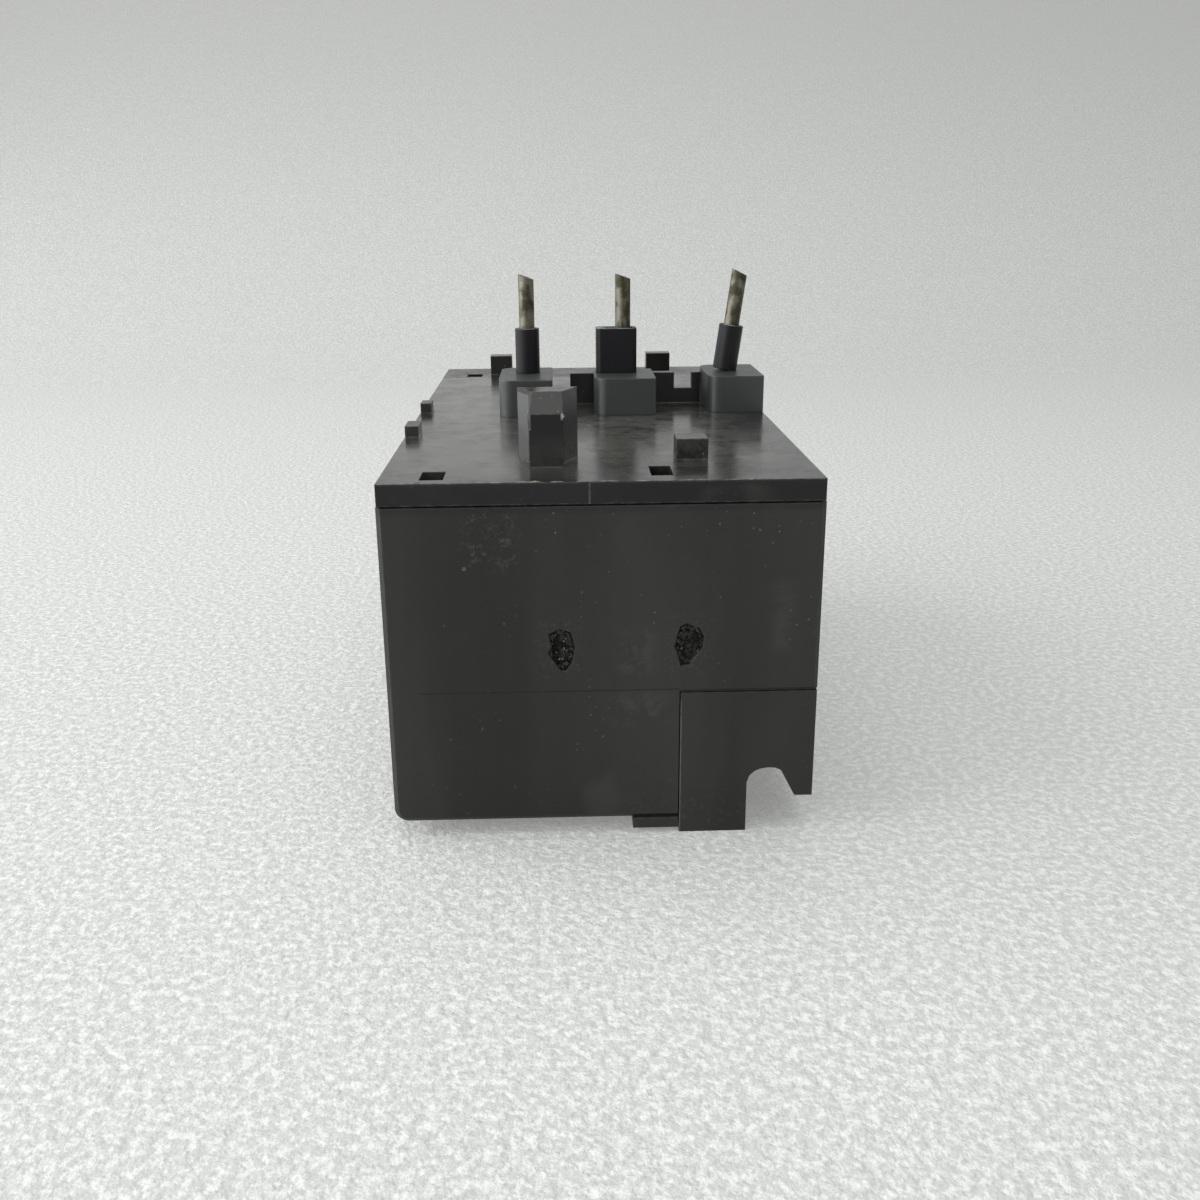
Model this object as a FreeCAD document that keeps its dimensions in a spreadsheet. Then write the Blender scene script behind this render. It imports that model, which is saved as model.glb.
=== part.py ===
import FreeCAD, Part
import math
import os
import re
import Sketcher

os.makedirs("parts", exist_ok=True)

# A plug-in thermal overload relay, standing on its load-terminal side.
# Design frame: x = 0 on the mid plane, y = 0 on the rear face and growing towards the front,
# z = 0 on the main underside. Every sub-part is then moved by the same shift, so that the
# stored origin is the bottom centre of the whole relay. Lengths are millimetres.
SIZES = {
    # housing
    "case_width": 45.0, "case_depth": 86.8, "case_top": 34.65, "wall": 2.0, "rear_wall": 2.2,
    "foot_drop": 1.8, "depth_total": 91.1, "deck_top": 15.0, "floor_top": 2.5, "cell_back": 17.5,
    "cell_front": 54.0, "bulkhead_back": 74.0, "bulkhead_front": 75.2, "front_inner": 84.8,
    "row_floor": 24.6, "step_top": 13.4, "step_front": 69.5, "step_back": 50.0,
    "corner_round": 1.5, "rear_edge_bevel": 0.5, "rib_half": 0.6, "rib_place": 7.0,
    "rib_top": 29.3, "rib_front": 43.0, "recess_top": 13.4, "recess_front": 16.0,
    "recess_lip": 1.6, "tab_left": 3.1, "tab_drop": 1.2, "tab_front": 3.0, "leg_bottom": 2.3,
    "lever_post_top": 34.1, "post_proud": 0.8, "spring_stop_back": 54.2, "spring_stop_thick": 1.4,
    "spring_stop_half": 3.0, "snap_drop": 0.9,
    # rear plate
    "plate_left": 7.95, "plate_top": 14.6, "plate_gap": 0.12, "notch_left": 15.3,
    "notch_spring": 3.9, "notch_right": 18.95, "notch_right_top": 5.3, "notch_foot": 20.5,
    "scar_depth": 0.8, "plate_clear": 0.05, "stiffener_left": 2.2, "stiffener_thick": 1.4,
    "stiffener_depth": 3.0, "stiffener_gap": 0.3,
    # lid
    "lid_width": 44.7, "lid_top": 37.1, "seam_height": 0.2, "seam_depth": 0.4, "hook_left": -7.3,
    "hook_right": -3.75, "hook_back": 7.0, "hook_front": 12.5, "hook_skew": 0.3,
    "hook_shoulder": 5.55, "hook_height": 7.55, "hook_nose": 9.2, "hook_flare": 1.55,
    "screen_left": -2.6, "screen_right": 15.05, "screen_back": 48.55, "screen_thick": 1.5,
    "screen_height": 4.15, "screen_notch_left": 11.5, "screen_notch_right": 13.9,
    "screen_notch_floor": 2.05,
    # pins, blocks and sleeves
    "pin_radius": 1.0, "pin_y": 46.0, "pin_x_left": -8.2, "pin_x_centre": 4.4, "pin_x_right": 18.0,
    "pin_foot": 24.0, "pin_tip": 54.55, "pin_bevel": 0.9, "bevel_flat": 0.05, "bevel_reach": 1.2,
    "pin_lean": 7.7, "foot_half": 0.85, "collar_radius": 1.25, "collar_rise": 0.08,
    "knee_rise": 0.25, "knee_overlap": 0.25, "upper_length": 13.0, "block_height": 4.7,
    "block_round": 1.7, "spigot_bottom": 33.0, "spigot_half": 2.2, "fit_gap": 0.1,
    "sleeve_radius": 1.58, "sleeve_height": 5.7, "sleeve_gap": 0.04, "seat_gap": 0.02,
    "box_sleeve_left": 3.55, "box_sleeve_right": 1.75, "box_sleeve_half": 1.75,
    "box_sleeve_corner": 0.5, "dent_left": 2.6, "dent_right": 0.9, "dent_bottom": 0.6,
    "dent_top": 3.9, "dent_depth": 1.2,
    # poles
    "pole_pitch": 14.0, "strip_y": 34.0, "strip_half_width": 3.0, "strip_half": 0.5,
    "strip_notch": 1.0, "strip_notch_height": 2.5, "strip_tip": 29.0, "bar_thick": 0.8,
    "bar_half": 3.5, "bar_back": 30.0, "winding_half_x": 1.9, "winding_half_y": 4.4,
    "winding_wire": 0.6, "winding_turn": 1.0, "winding_pitch": 3.25, "winding_turns": 5,
    "winding_bottom": 7.0, "lead_half": 0.65, "lead_z": 20.0, "lead_turn": 1.3,
    "lead_straight": 3.2, "strap_half": 1.2, "strap_thick": 0.4,
    # power terminals
    "power_z": 5.8, "power_cell_back": 57.0, "power_cell_front": 67.5, "power_cell_half": 5.5,
    "power_cell_top": 11.5, "power_plate_half": 4.2, "power_plate": 1.2, "power_screw": 2.0,
    "power_head": 3.5, "power_head_thick": 3.0, "power_clamp_back": 62.6, "power_clamp": 1.2,
    "power_clamp_half": 4.7, "power_tip": 56.4, "power_access": 3.9, "power_clamp_reach": 4.6,
    "power_plate_drop": 0.6, "power_plate_gap": 0.3, "screw_room": 0.35, "thread_gap": 0.08,
    "slot_depth": 1.1, "slot_half": 0.45, "lip_width": 0.8, "lip_depth": 0.7,
    # control terminals
    "control_pitch": 10.5, "control_z": 17.4, "control_cell_half": 4.1, "control_cell_top": 22.8,
    "control_plate": 0.8, "control_plate_half": 3.2, "control_screw": 1.6, "control_head": 2.8,
    "control_head_thick": 2.0, "control_clamp_back": 80.2, "control_clamp": 0.9,
    "control_clamp_half": 3.5, "control_clamp_low": 3.3, "control_clamp_high": 3.9,
    "tongue_seat": 0.2, "tongue_gap": 0.6, "control_tip": 74.9, "control_access": 3.1,
    "tongue_half": 1.5, "tongue_lead_bottom": 21.9, "tongue_arm_bottom": 19.4,
    "normally_closed_y": 70.6, "normally_open_y": 66.0, "button_half": 0.8, "button_thick": 0.6,
    "contact_z": 20.7, "bridge_thick": 0.7, "bridge_half_height": 0.9, "bridge_reach": 6.1,
    "contact_gap": 0.15, "open_gap": 1.8,
    # push bars
    "push_bar_back": 31.0, "follow_bar_back": 34.6, "bar_depth": 2.4, "bar_bottom": 29.6,
    "bar_height": 2.0, "finger_bottom": 26.8, "finger_thick": 1.2, "push_travel": 2.2,
    "push_gap": 0.35, "bar_left": -15.9, "bar_right": 19.0, "follower_left": -14.9,
    "follower_right": 19.5,
    # compensating lever
    "comp_x": -15.5, "comp_y": 56.5, "post_radius": 1.0, "hub_radius": 2.0, "running_gap": 0.06,
    "comp_arm_back": 30.5, "comp_leaf_x": -1.6, "comp_leaf": 0.8, "comp_nose": 3.6,
    "comp_drop": 1.0, "leaf_overlap": 0.2, "nose_half": 0.6, "nose_step": 2.4, "nose_reach": 2.1,
    # trip lever and carriage
    "trip_x": -4.0, "trip_y": 57.0, "trip_arm": 10.0, "trip_latch": 8.7, "trip_half": 1.2,
    "trip_bottom": 16.5, "trip_top": 19.0, "carriage_back": 62.0, "carriage_depth": 2.5,
    "carriage_bottom": 15.3, "carriage_top": 21.6, "carriage_half": 17.5, "peg_radius": 0.9,
    "latch_half": 0.8, "waist": 2.2, "hub_flat": 1.0, "trip_nose": 1.3, "bridge_arm_half": 1.5,
    "bridge_arm_rise": 3.6, "tab_half": 2.2, "tab_gap": 0.3, "peg_side_gap": 0.5,
    "peg_end_gap": 0.2, "peg_drop": 0.2,
    # controls on the front
    "row_z": 29.4, "dial_x": -15.2, "selector_x": -6.2, "test_x": -1.5, "flag_x": 2.7,
    "stop_x": 9.2, "reset_x": 16.2, "dial_radius": 4.1, "dial_collar": 4.7, "collar_back": 1.4,
    "collar_thick": 1.25, "dial_shaft": 1.8, "dial_proud": 1.6, "dial_cam": 2.8,
    "dial_cam_offset": 0.6, "cam_back": 8.0, "cam_front": 4.0, "arrow_half": 0.5,
    "arrow_tail": 3.0, "arrow_shoulder": 1.4, "arrow_tip": 3.5, "arrow_depth": 0.8,
    "adjust_side": 4.05, "adjust_drop": 5.5, "adjust_hub": 1.5, "adjust_pin": 0.8,
    "adjust_half": 1.0, "adjust_thick": 3.2, "adjust_back": 7.6, "adjust_tip": 1.5,
    "adjust_pin_length": 8.2, "control_gap": 0.15, "button_travel": 2.5, "reset_radius": 3.5,
    "reset_flange": 4.0, "reset_chamfer": 0.5, "stem_tail": 4.0, "button_chamfer": 0.3,
    "button_collar_back": 1.6, "button_collar_side": 0.45, "button_collar_over": 0.6,
    "test_proud": 1.8, "flag_inset": 0.4, "flag_collar_back": 3.3, "stop_half_x": 2.4,
    "stop_half_z": 3.0, "small_half_x": 1.2, "small_half_z": 2.1, "selector_head": 2.4,
    "selector_collar": 2.9, "selector_tail": 2.0, "selector_proud": 0.9, "selector_slot_half": 0.4,
    "selector_slot_depth": 1.1, "stem_radius": 1.5, "stem_half": 1.2, "spring_radius": 2.4,
    "spring_wire": 0.4, "spring_seat": 0.35, "spring_room": 2.3, "trip_spring_x": 13.0,
    "trip_spring_radius": 2.0, "trip_spring_rise": 3.2, "spring_gap": 0.3,
    # clear cover
    "cover_left": -21.3, "cover_right": 4.9, "cover_wall": 0.8, "cover_bottom": 23.7,
    "cover_top": 35.1, "cover_back": 86.95, "cover_axis_y": 88.6, "cover_axis_z": 24.9,
    "cover_pin": 0.75, "cover_pin_out": 1.1, "cover_pin_in": 0.3, "cover_lap": 1.1,
    "cover_heel": 1.4, "cover_heel_low": 0.3, "cover_chamfer": 0.6, "cover_clear": 3.0,
    "swing_front": 0.5, "thumb_left": -13.0, "thumb_right": -3.0, "thumb_rise": 0.7,
    "thumb_thick": 1.2, "thumb_inset": 0.8, "ear_thick": 1.0, "ear_half": 1.5, "ear_root": 0.5,
    "ear_corner": 0.6,
    # how far a cut runs past a face, and how far added material sinks into the form it joins
    "past": 1.0, "sink": 0.1,
}

POLES = {"left": -1, "centre": 0, "right": 1}
CONTROLS = {"95": -1.5, "96": -0.5, "97": 0.5, "98": 1.5}
PIN_BLOCKS = {
    "left": (-11.8, -5.0, 38.0, 50.8),
    "centre": (0.5, 8.3, 38.8, 48.4),
    "right": (15.2, 22.35, 40.0, 51.9),
}
LID_SLOTS = ((-18.2, -15.8, 1.65, 5.65), (5.05, 7.3, 2.45, 7.1),
             (-18.7, -16.3, 77.0, 80.2), (11.7, 13.9, 76.6, 79.8))
SCARS = (((-5.63, 21.27), (-4.39, 21.77), (-3.28, 21.36), (-2.93, 19.63), (-3.26, 18.04),
          (-3.83, 17.24), (-4.4, 17.19), (-5.08, 18.21), (-5.68, 19.02), (-5.41, 20.08)),
         ((7.92, 21.86), (8.65, 22.19), (9.91, 21.63), (10.43, 20.69), (10.21, 19.37),
          (9.59, 18.59), (8.97, 17.66), (7.98, 17.48), (7.64, 18.89), (7.32, 19.7),
          (7.61, 20.75)))
ARCH = ((15.55, 4.7), (16.1, 5.25), (16.8, 5.55), (17.6, 5.65), (18.35, 5.6))
SNAP_TONGUES = ((-17.7, -16.3, 2.1, 4.25, "deck_top"), (5.55, 6.8, 2.65, 5.7, "deck_top"),
                (-18.5, -17.8, 77.6, 79.6, "row_floor"), (12.0, 12.7, 77.2, 79.2, "row_floor"))
LID_PEGS = ((8.25, 11.65, 10.0, 13.3, 2.25), (-22.3, -20.7, 25.2, 29.0, 1.3),
            (-22.3, -20.9, 42.6, 45.5, 1.25), (-15.0, -11.6, 79.6, 82.2, 2.9),
            (9.9, 13.7, 80.4, 83.0, 3.0))

# How far the straight runs of a bent lead may leave its arcs
BEND_CHORD = 0.04

doc = FreeCAD.newDocument("OverloadRelay")
sheet = doc.addObject("Spreadsheet::Sheet", "Sizes")
for row, (alias, value) in enumerate(SIZES.items(), start=1):
    sheet.set(f"A{row}", alias)
    sheet.set(f"B{row}", str(value))
    sheet.setAlias(f"B{row}", alias)
doc.recompute()


def bound(text):
    """Give every size word in an expression its place in the sheet."""
    return re.sub(r"[a-z][a-z_]*", lambda found: "Sizes." + found.group(0), str(text))


def size(text):
    """Work out an expression of size words."""
    return float(sheet.evalExpression(bound(text)))


def new_body(label):
    """A sub-part made of features, named as its file is."""
    body = doc.addObject("PartDesign::Body", label)
    body.Label = label
    return body


def place(part, across="0", along="0", up="0"):
    """Put a sub-part's own origin at a point of the design frame."""
    part.setExpression("Placement.Base.x", bound(across))
    part.setExpression("Placement.Base.y", bound(f"({along}) - depth_total / 2"))
    part.setExpression("Placement.Base.z", bound(f"({up}) + foot_drop"))


def box_loop(low_h, high_h, low_v, high_v):
    """Corners of a rectangle in a sketch."""
    return [(low_h, low_v), (high_h, low_v), (high_h, high_v), (low_h, high_v)]


def tie(sketch, kind, index, point, text):
    """Dimension one sketch point from the sketch origin and bind it to the sheet."""
    number = sketch.addConstraint(Sketcher.Constraint(kind, -1, 1, index, point, size(text)))
    sketch.setExpression(f"Constraints[{number}]", bound(text))


def draw_loop(sketch, corners):
    """A closed outline of straight edges, each corner dimensioned."""
    first = sketch.GeometryCount
    count = len(corners)
    spots = [FreeCAD.Vector(size(across), size(up), 0) for across, up in corners]
    for index in range(count):
        edge = Part.LineSegment(spots[index], spots[(index + 1) % count])
        sketch.addGeometry(edge, False)
    for index in range(count):
        nxt = first + (index + 1) % count
        sketch.addConstraint(Sketcher.Constraint("Coincident", first + index, 2, nxt, 1))
    for index, (across, up) in enumerate(corners):
        tie(sketch, "DistanceX", first + index, 1, across)
        tie(sketch, "DistanceY", first + index, 1, up)


def draw_circle(sketch, across, up, radius):
    """A dimensioned circle."""
    centre = FreeCAD.Vector(size(across), size(up), 0)
    index = sketch.addGeometry(Part.Circle(centre, FreeCAD.Vector(0, 0, 1), size(radius)), False)
    tie(sketch, "DistanceX", index, 3, across)
    tie(sketch, "DistanceY", index, 3, up)
    number = sketch.addConstraint(Sketcher.Constraint("Radius", index, size(radius)))
    sketch.setExpression(f"Constraints[{number}]", bound(radius))


def new_sketch(body, name, plane, offset, loops=(), circles=()):
    """A sketch on one of the body's own planes, moved along the plane's normal."""
    sketch = body.newObject("Sketcher::SketchObject", f"{body.Name}_{name}_sketch")
    support = next(item for item in body.Origin.OriginFeatures if item.Role == plane + "_Plane")
    sketch.AttachmentSupport = (support, [""])
    sketch.MapMode = "FlatFace"
    sketch.setExpression("AttachmentOffset.Base.z", bound(offset))
    for corners in loops:
        draw_loop(sketch, corners)
    for circle in circles:
        draw_circle(sketch, *circle)
    return sketch


def pad(body, name, plane, low, high, loops=(), circles=()):
    """Add material between two distances along x, y or z."""
    start = f"-({high})" if plane == "XZ" else low
    feature = body.newObject("PartDesign::Pad", f"{body.Name}_{name}")
    feature.Profile = new_sketch(body, name, plane, start, loops, circles)
    feature.setExpression("Length", bound(f"({high}) - ({low})"))
    doc.recompute()
    return feature


def cut(body, name, plane, low, high, loops=(), circles=()):
    """Take material away between two distances along x, y or z."""
    before = body.Shape.Volume
    start = f"-({low})" if plane == "XZ" else high
    feature = body.newObject("PartDesign::Pocket", f"{body.Name}_{name}")
    feature.Profile = new_sketch(body, name, plane, start, loops, circles)
    feature.setExpression("Length", bound(f"({high}) - ({low})"))
    doc.recompute()
    if body.Shape.Volume > before - 1e-6:
        raise RuntimeError(f"{body.Label}: {name} takes nothing away")
    return feature


def turn(body, name, plane, corners):
    """Turn an outline about the sketch's vertical axis."""
    feature = body.newObject("PartDesign::Revolution", f"{body.Name}_{name}")
    profile = new_sketch(body, name, plane, "0", [corners])
    feature.Profile = profile
    feature.ReferenceAxis = (profile, ["V_Axis"])
    feature.Angle = 360
    doc.recompute()
    return feature


def edges_where(shape, test):
    """Names of the edges whose middle and direction pass a test."""
    names = []
    for number, edge in enumerate(shape.Edges, start=1):
        middle = edge.valueAt((edge.FirstParameter + edge.LastParameter) / 2)
        direction = edge.tangentAt(edge.FirstParameter)
        if test(middle, direction):
            names.append(f"Edge{number}")
    return names


def soften(body, name, radius, test, kind="PartDesign::Fillet"):
    """Round or chamfer the edges of the body's last feature that pass a test."""
    base = body.Tip
    names = edges_where(base.Shape, test)
    if not names:
        raise RuntimeError(f"{body.Label}: {name} finds no edge")
    feature = body.newObject(kind, f"{body.Name}_{name}")
    feature.Base = (base, names)
    word = "Radius" if kind.endswith("Fillet") else "Size"
    feature.setExpression(word, bound(radius))
    doc.recompute()
    return feature


def near(value, target, slack=0.05):
    """True where two numbers agree."""
    return abs(value - target) < slack


def make_case():
    """Moulded case: open at the top under the lid, with terminal cells and the control front."""
    body = new_body("case")
    outline = [("0", "0"), ("step_back", "0"), ("step_back", "-foot_drop"),
               ("step_front", "-foot_drop"), ("step_front", "step_top"),
               ("case_depth", "step_top"), ("case_depth", "case_top"), ("0", "case_top")]
    pad(body, "block", "YZ", "-case_width / 2", "case_width / 2", [outline])
    half = size("case_width / 2")
    soften(body, "lower_left", "corner_round",
           lambda p, d: near(abs(d.x), 0) and near(p.x, -half) and near(p.z, 0) and near(abs(d.y), 1))
    soften(body, "rear_edges", "rear_edge_bevel",
           lambda p, d: near(abs(d.z), 1) and near(abs(p.x), half) and near(p.y, 0),
           "PartDesign::Chamfer")
    inner = "case_width / 2 - wall"
    cut(body, "deck", "XY", "deck_top", "case_top + past",
        [box_loop(f"-({inner})", inner, "rear_wall", "bulkhead_back")])
    cut(body, "cells", "XY", "floor_top", "case_top",
        [box_loop(f"-({inner})", inner, "cell_back", "cell_front")])
    cut(body, "control_row", "XY", "row_floor", "case_top + past",
        [box_loop(f"-({inner})", inner, "bulkhead_front", "front_inner")])
    cut(body, "foot_recess", "XY", "-(foot_drop + past)", "recess_top",
        [box_loop("plate_left + recess_lip", inner, "-past", "recess_front")])
    cut(body, "plate_seat", "XY", "-(foot_drop + past)", "plate_top",
        [box_loop("plate_left", "case_width / 2 + past", "-past", "rear_wall")])
    cut(body, "leg_notch", "XY", "-(foot_drop + past)", "leg_bottom",
        [box_loop("notch_foot - fit_gap", "case_width / 2 + past", "-past", "recess_front + past")])
    pad(body, "foot_tab", "XY", "-tab_drop", "0",
        [box_loop("tab_left", "plate_left", "0", "tab_front")])
    ribs = [box_loop(f"{side} * rib_place - rib_half", f"{side} * rib_place + rib_half",
                     "cell_back - sink", "rib_front") for side in (-1, 1)]
    pad(body, "ribs", "XY", "floor_top - sink", "rib_top", ribs)
    cut_power_cells(body)
    cut_control_cells(body)
    cut_front_row(body)
    cut_scars(body)
    add_posts(body)
    add_ears(body)
    add_snap_tongues(body)
    place(body)
    return body


def square_round(across, up, half):
    """A square outline round a point, reaching half each way."""
    return box_loop(f"{across} - ({half})", f"{across} + ({half})",
                    f"{up} - ({half})", f"{up} + ({half})")


def cut_power_cells(body):
    """Three wire cells, open underneath, with a screwdriver opening each in front."""
    cells, slots, heads, tips = [], [], [], []
    for side in POLES.values():
        middle = f"{side} * pole_pitch"
        cells.append(box_loop(f"{middle} - power_cell_half", f"{middle} + power_cell_half",
                              "power_cell_back", "power_cell_front"))
        slots.append(box_loop(f"{middle} - bar_half - fit_gap", f"{middle} + bar_half + fit_gap",
                              "floor_top", "floor_top + bar_thick + fit_gap"))
        heads.append(square_round(middle, "power_z", "power_access"))
        tips.append(square_round(middle, "power_z", "power_screw + screw_room"))
    cut(body, "power_cells", "XY", "-(foot_drop + past)", "power_cell_top", cells)
    cut(body, "power_slots", "XZ", "cell_front - past", "power_cell_back + past", slots)
    cut(body, "power_heads", "XZ", "power_cell_front - past", "step_front + past", heads)
    cut(body, "power_tips", "XZ", "cell_front - past", "power_cell_back + past", tips)


def cut_control_cells(body):
    """Four smaller cells under the control row, and the slots for their contact tongues."""
    cells, slots, heads, tips = [], [], [], []
    for place_in_row in CONTROLS.values():
        middle = f"{place_in_row} * control_pitch"
        cells.append(box_loop(f"{middle} - control_cell_half", f"{middle} + control_cell_half",
                              "bulkhead_front - tongue_seat", "front_inner"))
        slots.append(box_loop(f"{middle} - tongue_half - fit_gap",
                              f"{middle} + tongue_half + fit_gap",
                              "tongue_lead_bottom - fit_gap", "control_cell_top"))
        heads.append(square_round(middle, "control_z", "control_access"))
        tips.append(square_round(middle, "control_z", "control_screw + screw_room"))
    cut(body, "control_cells", "XY", "step_top - past", "control_cell_top", cells)
    cut(body, "control_slots", "XZ", "bulkhead_back - past", "bulkhead_front", slots)
    cut(body, "control_heads", "XZ", "front_inner - past", "case_depth + past", heads)
    cut(body, "control_tips", "XZ", "bulkhead_back - past", "bulkhead_front", tips)


def cut_front_row(body):
    """Holes for the dial, selector, buttons and flag, and guide holes for their stems."""
    boxes = [box_loop(f"{middle} - {half_x} - control_gap", f"{middle} + {half_x} + control_gap",
                      f"row_z - {half_z} - control_gap", f"row_z + {half_z} + control_gap")
             for middle, half_x, half_z in (
                 ("test_x", "small_half_x", "small_half_z"),
                 ("flag_x", "small_half_x", "small_half_z"),
                 ("stop_x", "stop_half_x", "stop_half_z"))]
    rounds = [("dial_x", "row_z", "dial_radius + control_gap"),
              ("selector_x", "row_z", "selector_head + control_gap"),
              ("reset_x", "row_z", "reset_radius + control_gap")]
    cut(body, "control_holes", "XZ", "front_inner - past", "case_depth + past", boxes, rounds)
    stems = [("dial_x", "row_z", "dial_shaft + running_gap"),
             ("selector_x", "row_z", "stem_radius + running_gap")]
    guides = [square_round(middle, "row_z", "stem_half + running_gap")
              for middle in ("test_x", "flag_x", "stop_x", "reset_x")]
    cut(body, "stem_guides", "XZ", "bulkhead_back - past", "bulkhead_front + past", guides, stems)


def cut_scars(body):
    """Two ragged shallow pits where the rear face is torn."""
    loops = [[(f"{across}", f"{up}") for across, up in corners] for corners in SCARS]
    cut(body, "scars", "XZ", "-past", "scar_depth", loops)


def add_posts(body):
    """Pivot posts of the compensating lever and the trip lever, and the spring stop."""
    pad(body, "lever_post", "XY", "deck_top - sink", "lever_post_top", [],
        [("comp_x", "comp_y", "post_radius")])
    pad(body, "trip_post", "XY", "deck_top - sink", "trip_top + post_proud", [],
        [("trip_x", "trip_y", "post_radius")])
    pad(body, "adjusting_pin", "XZ", "bulkhead_back - adjust_pin_length", "bulkhead_back + sink", [],
        [("dial_x + adjust_side", "row_z - adjust_drop", "adjust_pin")])
    pad(body, "spring_stop", "XY", "deck_top - sink", "carriage_top",
        [box_loop("trip_spring_x - spring_stop_half", "trip_spring_x + spring_stop_half",
                  "spring_stop_back", "spring_stop_back + spring_stop_thick")])


def add_ears(body):
    """Two ears in front that carry the clear cover."""
    rise = [("case_depth - ear_root", "cover_axis_z - ear_half"),
            ("cover_axis_y + ear_corner", "cover_axis_z - ear_half"),
            ("cover_axis_y + ear_half", "cover_axis_z - ear_corner"),
            ("cover_axis_y + ear_half", "cover_axis_z + ear_corner"),
            ("cover_axis_y + ear_corner", "cover_axis_z + ear_half"),
            ("case_depth - ear_root", "cover_axis_z + ear_half")]
    left = "cover_left - control_gap"
    right = "cover_right + control_gap"
    pad(body, "left_ear", "YZ", f"{left} - ear_thick", left, [rise])
    pad(body, "right_ear", "YZ", right, f"{right} + ear_thick", [rise])
    hole = [("cover_axis_y", "cover_axis_z", "cover_pin + running_gap")]
    cut(body, "left_hinge_hole", "YZ", f"{left} - ear_thick - past", left, [], hole)
    cut(body, "right_hinge_hole", "YZ", right, f"{right} + ear_thick + past", [], hole)


def add_snap_tongues(body):
    """Snap tongues that stand in the lid's four slots."""
    for number, (low_x, high_x, low_y, high_y, root) in enumerate(SNAP_TONGUES, start=1):
        pad(body, f"snap_{number}", "XY", f"{root} - sink", "lid_top - snap_drop",
            [box_loop(f"{low_x}", f"{high_x}", f"{low_y}", f"{high_y}")])


def make_rear_plate():
    """Snap-in plate at the lower rear corner, with the notch that shows the floor."""
    body = new_body("rear_plate")
    arch = [(f"{across}", f"{up}") for across, up in ARCH]
    outline = [("plate_left + plate_gap", "-foot_drop"), ("notch_left", "-foot_drop"),
               ("notch_left", "notch_spring"), *arch, ("notch_right", "notch_right_top"),
               ("notch_foot", "leg_bottom"), ("case_width / 2 - fit_gap", "leg_bottom"),
               ("case_width / 2 - fit_gap", "plate_top - plate_gap"),
               ("plate_left + plate_gap", "plate_top - plate_gap")]
    pad(body, "plate", "XZ", "plate_clear", "rear_wall - plate_clear", [outline])
    left = "plate_left + stiffener_left"
    pad(body, "stiffener", "XZ", "rear_wall - sink", "rear_wall + stiffener_depth",
        [box_loop(left, f"{left} + stiffener_thick", "-foot_drop", "recess_top - stiffener_gap")])
    place(body)
    return body


def make_lid():
    """Top plate with its snap slots, pin openings, hook, screen wall and locating pegs."""
    body = new_body("lid")
    half = "lid_width / 2"
    pad(body, "plate", "XY", "case_top", "lid_top", [box_loop(f"-{half}", half, "0", "case_depth")])
    slots = [box_loop(*(str(value) for value in slot)) for slot in LID_SLOTS]
    seams = [box_loop(f"-{half} - past", f"{half} + past", "-past", "seam_depth"),
             box_loop(f"-{half} - past", f"-{half} + seam_depth", "seam_depth", "case_depth + past"),
             box_loop(f"{half} - seam_depth", f"{half} + past", "seam_depth", "case_depth + past")]
    for number, seam in enumerate(seams, start=1):
        cut(body, f"seam_{number}", "XY", "case_top - past", "case_top + seam_height", [seam])
    cut(body, "snap_slots", "XY", "case_top - past", "lid_top + past", slots)
    openings = [box_loop(f"pin_x_{name} - spigot_half - fit_gap",
                         f"pin_x_{name} + spigot_half + fit_gap",
                         "pin_y - spigot_half - fit_gap", "pin_y + spigot_half + fit_gap")
                for name in POLES]
    cut(body, "pin_openings", "XY", "case_top - past", "lid_top + past", openings)
    post = [("hook_left", "hook_back"), ("hook_right", "hook_back"), ("hook_right", "hook_nose"),
            ("hook_right + hook_flare", "hook_front"),
            ("hook_left - hook_flare + hook_skew", "hook_front"),
            ("hook_left + hook_skew", "hook_nose")]
    pad(body, "hook_post", "XY", "lid_top - sink", "lid_top + hook_height", [post])
    above = "lid_top + hook_height + past"
    slope = [("hook_back - past", "lid_top + hook_shoulder"), ("hook_back", "lid_top + hook_shoulder"),
             ("hook_nose", "lid_top + hook_height"), ("hook_nose", above), ("hook_back - past", above)]
    cut(body, "hook_slope", "YZ", "hook_left - hook_flare - past", "hook_right + hook_flare + past",
        [slope])
    screen = [("screen_left", "lid_top - sink"), ("screen_right", "lid_top - sink"),
              ("screen_right", "lid_top + screen_height"),
              ("screen_notch_right", "lid_top + screen_height"),
              ("screen_notch_right", "lid_top + screen_notch_floor"),
              ("screen_notch_left", "lid_top + screen_notch_floor"),
              ("screen_notch_left", "lid_top + screen_height"),
              ("screen_left", "lid_top + screen_height")]
    pad(body, "screen", "XZ", "screen_back", "screen_back + screen_thick", [screen])
    for number, (low_x, high_x, low_y, high_y, rise) in enumerate(LID_PEGS, start=1):
        pad(body, f"peg_{number}", "XY", "lid_top - sink", f"lid_top + {rise}",
            [box_loop(f"{low_x}", f"{high_x}", f"{low_y}", f"{high_y}")])
    place(body)
    return body


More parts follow.
